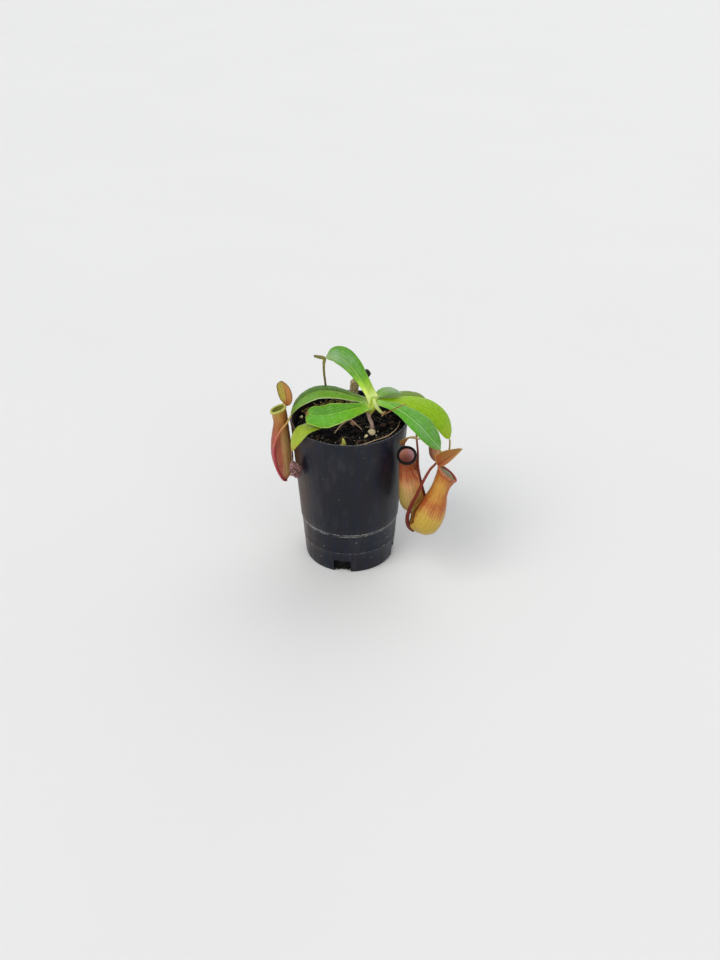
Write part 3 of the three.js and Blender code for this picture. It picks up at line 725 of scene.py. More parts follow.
@dataclass(frozen=True)
class DryFinish:
    """Dried tissue, wood or root, with a fibrous grain along it."""

    name: str
    dark: str
    mid: str
    light: str
    fibres: float = 9.0
    scale: float = 1.0
    relief: float = 0.18
    gloss: float = 0.72

    def make(self) -> bpy.types.Material:
        """Build the material.

        Returns:
            The material.
        """
        g = Graph(self.name)
        round_, along = g.coordinates(Layer.SHARE)
        turn = round_ * TURN
        fibre_place = g.vector(turn.cosine() * 2.2, turn.sine() * 2.2, along * 3.0)
        fibre = g.grain(self.fibres * 0.4, 4.0, 0.65, fibre_place)
        cloud = g.grain(0.35 * self.scale, 4.0)
        speck = g.grain(2.2 * self.scale, 4.0, 0.7)
        mixed = fibre * 0.45 + cloud * 0.3 + speck * 0.25
        g.colour = g.ramp(mixed, (0.36, self.dark), (0.5, self.mid), (0.66, self.light))
        pits = g.cells(1.1 * self.scale).ease(0.22, 0.08)
        g.lay(pits * 0.5, self.dark)
        height = fibre * 0.6 + speck * 0.5 - pits * 0.4
        gloss = self.gloss + speck.stray(0.25)
        return g.finish(gloss, height, self.relief, Specular_IOR_Level=0.25)


@dataclass(frozen=True)
class SoilFinish:
    """Damp dark peat with paler crumbs and fibres in it."""

    name: str = "peat"

    def make(self) -> bpy.types.Material:
        """Build the material.

        Returns:
            The material.
        """
        g = Graph(self.name)
        cloud = g.grain(0.22, 4.0)
        crumb = g.grain(1.4, 5.0, 0.72)
        grit = g.cells(1.5)
        g.colour = g.ramp(
            crumb * 0.7 + cloud * 0.3,
            (0.40, "#030303"), (0.54, "#0c0a09"), (0.66, "#1e1814"), (0.78, "#4a3c2c"),
        )
        rust = g.grain(0.6).ease(0.56, 0.7)
        g.lay(rust * 0.35, "#24150d")
        pale = grit.ease(0.10, 0.05) * crumb.ease(0.56, 0.68) * cloud.ease(0.4, 0.6)
        g.lay(pale * 0.6, "#8d7c5a")
        height = crumb * 0.7 + grit.ease(0.0, 0.5) * 0.4
        return g.finish(0.62 + crumb * 0.3, height, 0.45, Specular_IOR_Level=0.12)


@dataclass(frozen=True)
class PotFinish:
    """Black injection-moulded plastic, with dull rubs, dust and scuffed steps, and reflections painted into
    its colour.
    """

    name: str = "moulded_black"
    NOISES: ClassVar[Bits] = (
        (0.35, 0.12, 4.0, 0.6), (0.15, 0.9, 4.0, 0.7), (0.05, 0.22, 3.0, 0.55), (0.03, 0.7, 3.0, 0.6),
    )

    def make(self) -> bpy.types.Material:
        """Build the material.

        Returns:
            The material.
        """
        g = Graph(self.name)
        x, y, z = g.parts(g.spot)
        cloud = g.grain(0.05)
        noises = [g.grain(*rest, g.place((1.0, 1.0, tall))) for tall, *rest in self.NOISES]
        haze, rub, sheet, streak = noises
        g.colour = g.mix(cloud.ease(0.3, 0.7), "#0e0f1a", "#15161f")
        # Painted reflection: dark-blue vertical patches where the glossy plastic would mirror darker
        # surroundings.
        g.lay(sheet.ease(0.47, 0.6) * 0.75, "#0a1326")
        g.lay(streak.ease(0.56, 0.68) * 0.4, "#22242e")
        # Painted reflection: brown from a wooden surface, laid on the pot's left side.
        painted_table_reflection = x.ease(-16.0, -36.0) * cloud.ease(0.2, 0.6)
        g.lay(painted_table_reflection * 0.9, "#40291a")
        # Painted reflection: a dark-blue glossy patch on the pot's upper left front.
        painted_blue_reflection = x.ease(-31.0, -27.5) * x.ease(-20.0, -24.0) * z.ease(66.0, 78.0) * z.ease(98.0, 90.0)
        g.lay(painted_blue_reflection * y.ease(5.0, -5.0), "#050b1c")
        g.lay(haze.ease(0.5, 0.72) * 0.42, "#34343a")
        g.lay(self._scuffs(z, rub, haze), "#a3a29e")
        dust = self._dust(g, z)
        g.lay(dust * 0.85, "#c2beb4")
        rough = 0.22 + sheet.ease(0.62, 0.4) * 0.12 + haze * 0.16 + rub * 0.08 + dust * 0.3
        fine = g.grain(2.6, 3.0, 0.6)
        height = fine * 0.5 + rub * 0.4 + streak * 0.3 + dust * 0.3
        return g.finish(rough, height, 0.035, Specular_IOR_Level=0.27)

    @staticmethod
    def _scuffs(z: Value, rub: Value, haze: Value) -> Value:
        """Light rubbed lines along the rim, the step and the band under it, as a mask.

        Args:
            z: Height.
            rub: Fine noise.
            haze: Soft noise.

        Returns:
            1 where it is rubbed.
        """
        pot = NurseryPot
        step = abs(z - pot.STEP_TOP - 0.25).ease(0.42, 0.14) * (rub.ease(0.38, 0.56) * haze.ease(0.3, 0.5))
        under = abs(z - pot.STEP_FOOT + 0.9).ease(0.34, 0.1) * rub.ease(0.42, 0.54)
        under = under * haze.ease(0.35, 0.5) * 0.85
        band = abs(z - pot.BAND).ease(0.3, 0.08) * rub.ease(0.48, 0.62) * 0.6
        rim = z.ease(pot.HEIGHT - 0.45, pot.HEIGHT - 0.05) * rub.ease(0.4, 0.7) * 0.3
        return step.at_least(under).at_least(band).at_least(rim)

    @staticmethod
    def _dust(g: Graph, z: Value) -> Value:
        """Specks of dried soil, thickest low on the pot, as a mask.

        Args:
            g: The material's graph.
            z: Height.

        Returns:
            1 on a speck.
        """
        low = z.ease(44.0, 12.0) * 0.7 + 0.3
        coarse = g.cells(0.3).ease(0.10, 0.07) * g.grain(0.07).ease(0.52, 0.6)
        small = g.cells(0.85).ease(0.12, 0.07) * g.grain(0.11).ease(0.5, 0.62)
        return coarse.at_least(small * 0.6) * low


@dataclass(frozen=True)
class FloorFinish:
    """The plain pale floor."""

    name: str = "pale_floor"

    def make(self) -> bpy.types.Material:
        """Build the material.

        Returns:
            The material.
        """
        g = Graph(self.name)
        cloud = g.grain(0.004, 2.0)
        g.colour = g.mix(cloud, "#e2e1df", "#e6e5e3")
        return g.finish(0.75 + cloud * 0.1)


Look = (
    LeafFinish | PitcherFinish | ThroatFinish | LipFinish | LidFinish | StalkFinish | DryFinish
    | SoilFinish | PotFinish
)


# ---- curves and meshes ----------------------------------------------------------------------


def unit(vectors: Array) -> Array:
    """Scale each vector to a length of 1."""
    return vectors / np.maximum(np.linalg.norm(vectors, axis=-1, keepdims=True), 1e-12)


def ease(values: Array | float, low: float, high: float) -> Array:
    """Rise smoothly from 0 at low to 1 at high."""
    share = np.clip((np.asarray(values, float) - low) / (high - low), 0, 1)
    return share * share * (3 - 2 * share)


def bell(distance: Array, width: float) -> Array:
    """A rounded bump, 1 at a distance of 0 and near 0 beyond twice the width."""
    return np.exp(-((distance / width) ** 2))


def lookup(table: Table, at: Array) -> Array:
    """Read a smooth curve through a table of places and values.

    Args:
        table: Pairs of place and value, in order of place.
        at: The places to read.

    Returns:
        One value for each place.
    """
    places, heights = np.array(table, float).T
    number = np.arange(len(places))
    low, high = np.maximum(number - 1, 0), np.minimum(number + 1, number[-1])
    slopes = (heights[high] - heights[low]) / (places[high] - places[low])
    i = np.clip(np.searchsorted(places, at, side="left") - 1, 0, len(places) - 2)
    span = places[i + 1] - places[i]
    s = np.clip((at - places[i]) / span, 0, 1)
    s2, s3 = s * s, s * s * s
    return (
        (2 * s3 - 3 * s2 + 1) * heights[i] + (s3 - 2 * s2 + s) * span * slopes[i]
        + (3 * s2 - 2 * s3) * heights[i + 1] + (s3 - s2) * span * slopes[i + 1]
    )


def blend(vectors: Path, at: Array) -> Array:
    """Turn evenly from each vector to the next.

    Args:
        vectors: The vectors, evenly spaced.
        at: Shares from 0 to 1.

    Returns:
        One direction for each share.
    """
    given = np.array(vectors, float)
    x = at * (len(given) - 1)
    i = np.minimum(x.astype(int), len(given) - 2)
    return unit(given[i] + (given[i + 1] - given[i]) * (x - i)[:, None])


def rough(points: Array, scale: float, octaves: int = 3, seed: float = 0.0) -> Array:
    """Smooth noise from about -1 to 1 at each point.

    Args:
        points: Places in millimetres.
        scale: Cells for each millimetre.
        octaves: How many finer layers are added.
        seed: Moves the noise to another place.

    Returns:
        One number for each point, in the points' shape.
    """
    flat = points.reshape(-1, 3) * scale + seed
    made = [noise.fractal(Vector(p), 1.0, 2.0, octaves) for p in flat]
    return np.array(made).reshape(points.shape[:-1])


def circle(count: int) -> Array:
    """This many angles, evenly round."""
    return np.linspace(0, TURN, count, endpoint=False)


def spread(rows: Array, columns: Array) -> Array:
    """Pairs of column and row values as corner coordinates."""
    return np.stack(np.meshgrid(columns, rows), axis=-1)


def even(rows: int, columns: int) -> Array:
    """Corner coordinates of an even sheet whose last column meets its first."""
    return spread(np.linspace(0, 1, rows), np.linspace(0, 1, columns + 1))


def put(name: str, data: bpy.types.ID) -> bpy.types.Object:
    """Put an object made of this data in the scene.

    Args:
        name: The object's name.
        data: Its mesh, lamp or camera.

    Returns:
        The object.
    """
    made = bpy.data.objects.new(name, data)
    bpy.context.scene.collection.objects.link(made)
    return made


class Spine:
    """A smooth curve through points, read by share of its length."""

    STEPS: ClassVar[int] = 60

    def __init__(self, points: Path) -> None:
        """Trace the curve finely once.

        Args:
            points: The points that it runs through.
        """
        given = np.array(points, float)
        ends = (2 * given[0] - given[1], 2 * given[-1] - given[-2])
        padded = np.vstack([ends[0], given, ends[1]])
        traced = [self._piece(padded[k:k + 4]) for k in range(len(given) - 1)]
        self.dense = np.vstack([*traced, given[-1:]])
        steps = np.linalg.norm(np.diff(self.dense, axis=0), axis=1)
        travelled = np.concatenate([[0.0], np.cumsum(steps)])
        self.length = float(travelled[-1])
        self.share = travelled / self.length
        self.headings = unit(np.gradient(self.dense, self.share, axis=0))

    def _piece(self, four: Array) -> Array:
        """The stretch between the middle two of four points.

        Args:
            four: Four points in a row.

        Returns:
            Points from the second up to the third.
        """
        p0, p1, p2, p3 = four
        d0, d1, d2 = np.sqrt(np.maximum(np.linalg.norm(np.diff(four, axis=0), axis=1), 1e-6))
        start = ((p1 - p0) / d0 - (p2 - p0) / (d0 + d1) + (p2 - p1) / d1) * d1
        end = ((p2 - p1) / d1 - (p3 - p1) / (d1 + d2) + (p3 - p2) / d2) * d1
        s = np.linspace(0, 1, self.STEPS, endpoint=False)[:, None]
        bend = -3 * p1 + 3 * p2 - 2 * start - end
        twist = 2 * p1 - 2 * p2 + start + end
        return p1 + start * s + bend * s**2 + twist * s**3

    def _read(self, values: Array, at: Array) -> Array:
        """Values along the curve at these shares."""
        return np.stack([np.interp(at, self.share, values[:, k]) for k in range(3)], axis=-1)

    def at(self, share: Array) -> Array:
        """Points at these shares of the length."""
        return self._read(self.dense, np.asarray(share, float))

    def heading(self, share: Array) -> Array:
        """Directions at these shares of the length."""
        return unit(self._read(self.headings, np.asarray(share, float)))

    def frames(self, share: Array) -> tuple[Array, Array]:
        """Two directions across the curve at each share, that don't twist along it.

        Args:
            share: Shares of the length, in order.

        Returns:
            The two directions at each share.
        """
        headings = self.heading(share)
        normals = np.zeros_like(headings)
        start = np.eye(3)[int(np.argmin(np.abs(headings[0])))]
        normals[0] = unit(start - headings[0] * (start @ headings[0]))
        for k in range(1, len(headings)):
            kept = normals[k - 1] - headings[k] * (normals[k - 1] @ headings[k])
            normals[k] = unit(kept)
        return normals, np.cross(headings, normals)


class Skin:
    """Points, faces and surface coordinates of one piece, gathered before its mesh is made."""

    def __init__(self) -> None:
        """Start empty."""
        self.points: list[Array] = []
        self.count = 0
        self.faces: list[list[int]] = []
        self.layers: dict[Layer, list[list[float]]] = {layer: [] for layer in Layer}
        self.looks: list[int] = []

    def add_points(self, points: Array) -> Array:
        """Add points in any shape of array, and give back their numbers in that shape.

        Args:
            points: The points.

        Returns:
            Their numbers.
        """
        shape = points.shape[:-1]
        ids = np.arange(self.count, self.count + int(np.prod(shape))).reshape(shape)
        self.points.append(points.reshape(-1, 3))
        self.count += ids.size
        return ids

    def add_faces(self, ids: Array, share: Array, reach: Array, look: int) -> None:
        """Add faces by their corners' numbers and coordinates.

        Args:
            ids: Corner numbers, one face a row.
            share: Each corner's first coordinates.
            reach: Its second ones.
            look: Which of the piece's materials they wear.
        """
        self.faces.extend(ids.tolist())
        self.layers[Layer.SHARE].extend(share.reshape(-1, 2).tolist())
        self.layers[Layer.REACH].extend(reach.reshape(-1, 2).tolist())
        self.looks.extend([look] * len(ids))

    def grid(
        self,
        points: Array,
        share: Array,
        reach: Array,
        closed: bool = False,
        looped: bool = False,
        flip: bool = False,
        look: int = 0,
    ) -> Array:
        """Add a sheet of four-cornered faces.

        Args:
            points: Rows by columns of points.
            share: Coordinates of the corners; one column more if closed, one row more if looped.
            reach: The second coordinates, in the same shape.
            closed: Join the last column to the first.
            looped: Join the last row to the first.
            flip: Turn the faces over.
            look: Which of the piece's materials they wear.

        Returns:
            The points' numbers, rows by columns.
        """
        ids = self.add_points(points)
        net = np.concatenate([ids, ids[:, :1]], axis=1) if closed else ids
        net = np.concatenate([net, net[:1]], axis=0) if looped else net
        corners = [(slice(None, -1), slice(None, -1)), (slice(None, -1), slice(1, None)),
                   (slice(1, None), slice(1, None)), (slice(1, None), slice(None, -1))]
        corners = corners[::-1] if flip else corners
        quads = np.stack([net[c] for c in corners], axis=2).reshape(-1, 4)
        places = [np.stack([layer[c] for c in corners], axis=2) for layer in (share, reach)]
        self.add_faces(quads, places[0].reshape(-1, 4, 2), places[1].reshape(-1, 4, 2), look)
        return ids

    def fan(self, ring: Array, tip: Array, share: float, flip: bool, look: int = 0) -> None:
        """Close a ring of points with triangles to one point.

        Args:
            ring: The ring's point numbers.
            tip: The point that they meet in.
            share: The ring's place along the piece.
            flip: Turn the faces over.
            look: Which of the piece's materials they wear.
        """
        centre = int(self.add_points(np.asarray(tip, float)[None])[0])
        count = len(ring)
        start, end = np.arange(count) / count, np.arange(1, count + 1) / count
        following, middle = np.roll(ring, -1), np.full(count, centre)
        order = (middle, following, ring) if flip else (middle, ring, following)
        turns = (start, end, start) if flip else (start, start, end)
        places = np.stack([np.stack([t, np.full(count, share)], -1) for t in turns], axis=1)
        self.add_faces(np.stack(order, axis=1), places, places, look)

    def strip(self, first: Array, second: Array, share: Array, reach: Array) -> None:
        """Join two borders of the same length with faces.

        Args:
            first: Point numbers of one border.
            second: Those of the other.
            share: Coordinates along the borders.
            reach: The second coordinates.
        """
        quads = np.stack([first[:-1], second[:-1], second[1:], first[1:]], axis=1)
        order = (slice(None, -1), slice(None, -1), slice(1, None), slice(1, None))
        places = [np.stack([layer[k] for k in order], axis=1) for layer in (share, reach)]
        self.add_faces(quads, places[0], places[1], 0)

    def make(self, name: str, looks: list[Look], sharp: float = 50.0) -> bpy.types.Object:
        """Make the Blender object.

        Args:
            name: The piece's name.
            looks: The finishes that it wears.
            sharp: Edges sharper than this, in degrees, stay crisp.

        Returns:
            The object, in the scene.
        """
        mesh = bpy.data.meshes.new(name)
        mesh.from_pydata((np.vstack(self.points) * MM).tolist(), [], self.faces)
        for layer, places in self.layers.items():
            made = mesh.uv_layers.new(name=layer.value)
            made.data.foreach_set("uv", np.array(places, np.float32).ravel())
        for look in looks:
            mesh.materials.append(look.make())
        mesh.polygons.foreach_set("material_index", self.looks)
        mesh.validate()
        return place_mesh(mesh, name, sharp)


def place_mesh(mesh: bpy.types.Mesh, name: str, sharp: float = 50.0) -> bpy.types.Object:
    """Smooth a mesh apart from its crisp edges, and put it in the scene.

    Args:
        mesh: The mesh.
        name: The object's name.
        sharp: Edges sharper than this, in degrees, stay crisp.

    Returns:
        The object.
    """
    mesh.polygons.foreach_set("use_smooth", [True] * len(mesh.polygons))
    mesh.set_sharp_from_angle(angle=math.radians(sharp))
    mesh.update()
    return put(name, mesh)


def mount(piece: bpy.types.Object, slot: str, *nodes: str) -> None:
    """Let a piece ride on the plant's body, in place of these nodes.

    Args:
        piece: The piece.
        slot: Not used.
        *nodes: The nodes that it stands for.
    """
    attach(piece, BODY)
    if nodes:
        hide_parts(*nodes)
    LOG.info("%s: %d faces", piece.name, len(piece.data.polygons))


# ---- leaves, lids and stalks ----------------------------------------------------------------


@dataclass
class Blade:
    """A leaf or a lid: one thin closed sheet along a spine."""

    node: str
    slot: str
    upper: LeafFinish | LidFinish
    lower: LeafFinish | LidFinish
    spine: Path
    ups: Path
    widths: Table
    camber: float = 0.0
    ripple: float = 0.0
    waves: float = 2.0
    plus: float = 1.0
    minus: float = 1.0
    thickness: float = 0.62
    rib_at: float = 0.0
    tuck: float = 1.6
    round_tip: float = 0.02
    round_base: float = 0.0
    trough: float = 0.35
    curl: float = 0.12
    ridge: float = 0.08
    groove: float = 0.22
    keel: float = 0.5
    waver: float = 0.28
    quilt: float = 0.12
    rows: int = 110
    columns: int = 40
    VEINS: ClassVar[tuple[float, ...]] = (0.3, 0.55, 0.78)
    WANDER: ClassVar[float] = 0.035
    SLANT_HEIGHT: ClassVar[float] = 0.03

    def build(self) -> None:
        """Make the blade."""
        along = np.linspace(0, 1, self.rows + 1)
        across = np.linspace(-1, 1, self.columns + 1)
        middle, half = self._middle(along, across)
        normal = unit(np.cross(np.gradient(middle, axis=1), np.gradient(middle, axis=0)))
        past = across - self.rib_at
        fraction = past / np.where(past > 0, 1 - self.rib_at, 1 + self.rib_at)
        signed = half * past
        distance = np.abs(signed)
        thin = self.thickness * (1 - 0.5 * np.abs(across) ** 5)
        grooved = self.groove * bell(distance, 0.5) * (1 - 0.6 * along[:, None])
        relief = self._relief(along, np.abs(fraction), distance)
        keeled = self.keel * bell(distance, 0.55) * (1 - 0.65 * along[:, None])
        top = middle + normal * (thin / 2 - grooved + relief)[..., None]
        bottom = middle - normal * (thin / 2 + keeled - relief)[..., None]
        skin = Skin()
        share = spread(along, (fraction + 1) / 2)
        length = self._line().length
        reach = np.stack([signed, np.broadcast_to(along[:, None] * length, half.shape)], axis=-1)
        upper = skin.grid(top, share, reach, look=0)
        lower = skin.grid(bottom, share, reach, flip=True, look=1)
        for border in (np.s_[0, :], np.s_[:, -1], np.s_[-1, ::-1], np.s_[::-1, 0]):
            skin.strip(upper[border], lower[border], share[border], reach[border])
        made = skin.make(f"{self.node}_blade", [self.upper, self.lower], 70)
        mount(made, self.slot, self.node)

    def _line(self) -> Spine:
        """The spine, led a little way back into what carries the blade.

        Returns:
            The spine.
        """
        first, second = (np.array(point) for point in self.spine[:2])
        tucked = first - unit(second - first) * self.tuck
        return Spine((tuple(tucked), *self.spine[1:]))

    def _middle(self, along: Array, across: Array) -> tuple[Array, Array]:
        """Points of the sheet's middle, and its half width at each.

        Args:
            along: Shares of the spine, one a row.
            across: Places across, from -1 to 1.

        Returns:
            The points and the half widths, rows by columns.
        """
        spine = self._line()
        heading = spine.heading(along)
        side = unit(np.cross(heading, blend(self.ups, along)))
        up = np.cross(side, heading)
        half = lookup(self.widths, along) * self._rounding(along)
        half = half[:, None] * np.where(across > 0, self.plus, self.minus)
        phase = np.where(across > 0, 0.0, 2.0)
        wave = self.ripple * np.sin(TURN * self.waves * along[:, None] + phase) * across**2
        clasp = self.trough * (1 - ease(along, 0.0, 0.22))[:, None] * across**2
        rolled = self.curl * np.abs(across) ** 6 * ease(half, 1.0, 3.0)
        lift = wave + (clasp - self.camber) * half * across**2 - rolled
        points = spine.at(along)[:, None] + side[:, None] * (half * across)[..., None]
        points = points + up[:, None] * lift[..., None]
        stray = rough(points, 0.11, 2) * self.waver * across**2 + rough(points, 0.3, 2, 4.0) * self.quilt
        return points + up[:, None] * stray[..., None], half

    def _rounding(self, along: Array) -> Array:
        """How far the outline is drawn in at its ends, to round them.

        Args:
            along: Shares of the spine.

        Returns:
            A factor for each share.
        """
        made = np.ones_like(along)
        if self.round_tip:
            past = np.clip((along - 1 + self.round_tip) / self.round_tip, 0, 1)
            made *= np.sqrt(np.maximum(1 - past**2, 0.01))
        if self.round_base:
            short = np.clip((self.round_base - along) / self.round_base, 0, 1)
            made *= np.sqrt(np.maximum(1 - short**2, 0.04))
        return made

    def _relief(self, along: Array, fraction: Array, distance: Array) -> Array:
        """Height of the long and slanting veins, in millimetres.

        Args:
            along: Shares of the spine.
            fraction: 0 at the midrib to 1 at the margin.
            distance: Millimetres from the midrib.

        Returns:
            Rows by columns of heights.
        """
        fade = (ease(1 - along, 0.0, 0.2) * ease(along, 0.0, 0.15))[:, None]
        wandering = fraction + self.WANDER * np.sin(9 * along[:, None] + 2)
        long_veins = sum(bell(wandering - place, 0.08) for place in self.VEINS)
        long_veins = long_veins * (0.65 + 0.35 * np.sin(17 * along[:, None] + 5 * fraction))
        slant = np.sin(along[:, None] * 62 - distance * 1.9)
        return fade * (self.ridge * long_veins + self.SLANT_HEIGHT * slant * ease(distance, 0.4, 1.5))


@dataclass
class Stalk:
    """A stem, tendril, root or rolled leaf: a closed round bar along a path."""

    node: str
    slot: str
    look: StalkFinish | DryFinish
    path: Path
    radii: Table
    rows: int = 120
    sides: int = 18
    lobes: int = 0
    lobe_depth: float = 0.0
    lumps: float = 0.05
    lump_scale: float = 0.35
    creases: float = 0.0
    groove: float = 0.0
    squash: float = 0.0
    swell: float = 1.0
    knob: float = 0.0

    def build(self) -> None:
        """Make the bar."""
        skin = Skin()
        self.trace(skin)
        mount(skin.make(f"{self.node}_bar", [self.look], 60), self.slot, self.node)

    def trace(self, skin: Skin) -> None:
        """Add the bar's faces to a skin.

        Args:
            skin: What they are added to.
        """
        spine = Spine(self.path)
        along = np.linspace(0, 1, self.rows + 1)
        turn = circle(self.sides)
        normals, others = spine.frames(along)
        centre = spine.at(along)
        radius = lookup(self.radii, along) * self.swell + self.knob * bell(along - 0.95, 0.045)
        radius = radius[:, None] * self._section(along, turn)
        out = normals[:, None] * np.cos(turn)[None, :, None] * (1 + self.squash)
        out = out + others[:, None] * np.sin(turn)[None, :, None] * (1 - self.squash)
        points = centre[:, None] + out * radius[..., None]
        points = points + out * self._uneven(points, radius)[..., None]
        round_ = np.linspace(0, 1, self.sides + 1)
        share = spread(along, round_)
        reach = spread(along * spine.length, round_ * TURN)
        ids = skin.grid(points, share, reach, closed=True)
        skin.fan(ids[0], centre[0], 0.0, True)
        skin.fan(ids[-1], centre[-1], 1.0, False)

    def _section(self, along: Array, turn: Array) -> Array:
        """The radius as a share of its table's, for each row and side.

        Args:
            along: Shares of the path.
            turn: Angles of the sides.

        Returns:
            Rows by sides of factors.
        """
        made = np.ones((len(along), len(turn)))
        if self.lobes:
            twisted = turn[None, :] * self.lobes + along[:, None] * 1.5
            made += self.lobe_depth * (np.abs(np.cos(twisted / 2)) * 2 - 1.2)
        if self.groove:
            away = np.angle(np.exp(1j * (turn - math.pi / 2)))
            made -= self.groove * bell(away, 0.5)[None, :]
        return made

    def _uneven(self, points: Array, radius: Array) -> Array:
        """Lumps and creases, in millimetres.

        Args:
            points: The bar's points.
            radius: The radius at each.

        Returns:
            How far each point moves out.
        """
        made = rough(points, self.lump_scale) * self.lumps * radius
        if self.creases:
            folds = np.abs(rough(points, 0.42, 3, 11.0))
            made = made - self.creases * radius * bell(folds, 0.16)
            made = made + self.creases * 0.7 * radius * rough(points, 0.9, 2, 5.0)
        return made


# ---- pitchers -------------------------------------------------------------------------------


@dataclass
class Cup:
    """The hollow body of a pitcher. Its rings follow the axis and turn to the mouth's plane."""

    side: str
    skin_look: PitcherFinish
    throat: ThroatFinish
    tendril: Path
    merge: tuple[float, float, float]
    axis: Path
    radii: Table
    mouth: Point
    hinge: Point
    inner_from: float
    turn_from: float = 0.62
    rib_height: float = 0.32
    ribs: tuple[float, ...] = (0.445, 0.555)
    rows: int = 120
    sides: int = 80
    WALL: ClassVar[float] = 0.7
    LINES: ClassVar[int] = 26
    LINE_HEIGHT: ClassVar[float] = 0.035
    LUMP_HEIGHT: ClassVar[float] = 0.16

    def station(self, along: Array) -> tuple[Array, ...]:
        """Centre, plane normal and the two directions across, at these shares of the axis.

        Args:
            along: Shares of the axis.

        Returns:
            The four, each with one row a share.
        """
        spine = Spine(self.axis)
        heading = spine.heading(along)
        turn = ease(along, self.turn_from, 1.0)[:, None]
        normal = unit(heading + (unit(np.array(self.mouth)) - heading) * turn)
        back = np.array(self.hinge)
        first = unit(back - normal * (normal @ back)[:, None])
        return spine.at(along), normal, first, np.cross(normal, first)

    def _rings(self, along: Array, radius: Array) -> Array:
        """Points round the axis, for a radius at each row and side.

        Args:
            along: Shares of the axis.
            radius: Rows by sides of radii.

        Returns:
            Rows by sides of points.
        """
        centre, _, first, second = self.station(along)
        turn = circle(self.sides)
        out = first[:, None] * np.cos(turn)[None, :, None] + second[:, None] * np.sin(turn)[None, :, None]
        return centre[:, None] + out * radius[..., None]

    def _outer(self, along: Array) -> Array:
        """Outer radius with its ribs and unevenness, for each row and side.

        Args:
            along: Shares of the axis.

        Returns:
            Rows by sides of radii.
        """
        radius = np.repeat(lookup(self.radii, along)[:, None], self.sides, axis=1)
        points = self._rings(along, radius)
        turn = circle(self.sides)[None, :]
        grown = (ease(along, 0.02, 0.2) * ease(1 - along, 0.0, 0.08))[:, None]
        rib = sum(bell(turn - place * TURN, 0.055) for place in self.ribs)
        back = bell(np.angle(np.exp(1j * turn)), 0.09) * ease(along, 0.3, 0.7)[:, None]
        fine = self.LINE_HEIGHT * np.sin(self.LINES * turn + 4 * rough(points, 0.15, 2))
        lumps = self.LUMP_HEIGHT * rough(points, 0.16, 3)
        return radius + (self.rib_height * (rib + 0.7 * back) + fine + lumps) * grown

    def _merged(self, points: Array, along: Array) -> Array:
        """Draw the skin out to the tendril where the two have grown together.

        Args:
            points: Rows by sides of the outer skin.
            along: The rows' shares of the axis.

        Returns:
            The moved points.
        """
        low, high, width = self.merge
        track = Spine(self.tendril).dense
        away = np.linalg.norm(points[:, :, None] - track[None, None], axis=-1)
        nearest = track[np.argmin(away, axis=2)]
        pull = ease(-away.min(axis=2), -width, -0.45 * width)
        pull = pull * (ease(along, low - 0.1, low) * ease(-along, -high - 0.1, -high))[:, None]
        return points + (nearest - points) * (0.92 * pull)[..., None]

    def build(self) -> None:
        """Make the cup."""
        skin = Skin()
        round_ = np.linspace(0, 1, self.sides + 1)
        outer_rows = (np.arange(1, self.rows + 1) / self.rows) ** 1.3
        outer = self._merged(self._rings(outer_rows, self._outer(outer_rows)), outer_rows)
        share = spread(outer_rows, round_)
        outer_ids = skin.grid(outer, share, share, closed=True)
        inner_rows = outer_rows[outer_rows > self.inner_from][::-1]
        radius = np.repeat(lookup(self.radii, inner_rows)[:, None] - self.WALL, self.sides, axis=1)
        inner = self._rings(inner_rows, radius)
        share = spread(inner_rows, round_)
        inner_ids = skin.grid(inner, share, share, closed=True, look=1)
        rim_share = spread(np.array([1.0, 1.0]), round_)
        self._bridge(skin, outer_ids[-1], inner_ids[0], rim_share)
        spine = Spine(self.axis)
        skin.fan(outer_ids[0], spine.at(np.array([0.0]))[0], 0.0, True)
        skin.fan(inner_ids[-1], spine.at(inner_rows[-1:] - 0.02)[0], self.inner_from, False, 1)
        made = skin.make(f"pitcher_{self.side}_body", [self.skin_look, self.throat], 60)
        mount(made, "pitcher_skin", f"pitcher_{self.side}_cup")

    @staticmethod
    def _bridge(skin: Skin, first: Array, second: Array, share: Array) -> None:
        """Close the cup's edge between its outer and inner faces.

        Args:
            skin: The cup's skin.
            first: Numbers of the outer edge.
            second: Numbers of the inner edge.
            share: Coordinates of the two.
        """
        first, second = np.append(first, first[0]), np.append(second, second[0])
        quads = np.stack([first[:-1], first[1:], second[1:], second[:-1]], axis=1)
        places = np.stack([share[0, :-1], share[0, 1:], share[1, 1:], share[1, :-1]], axis=1)
        skin.add_faces(quads, places, places, 0)


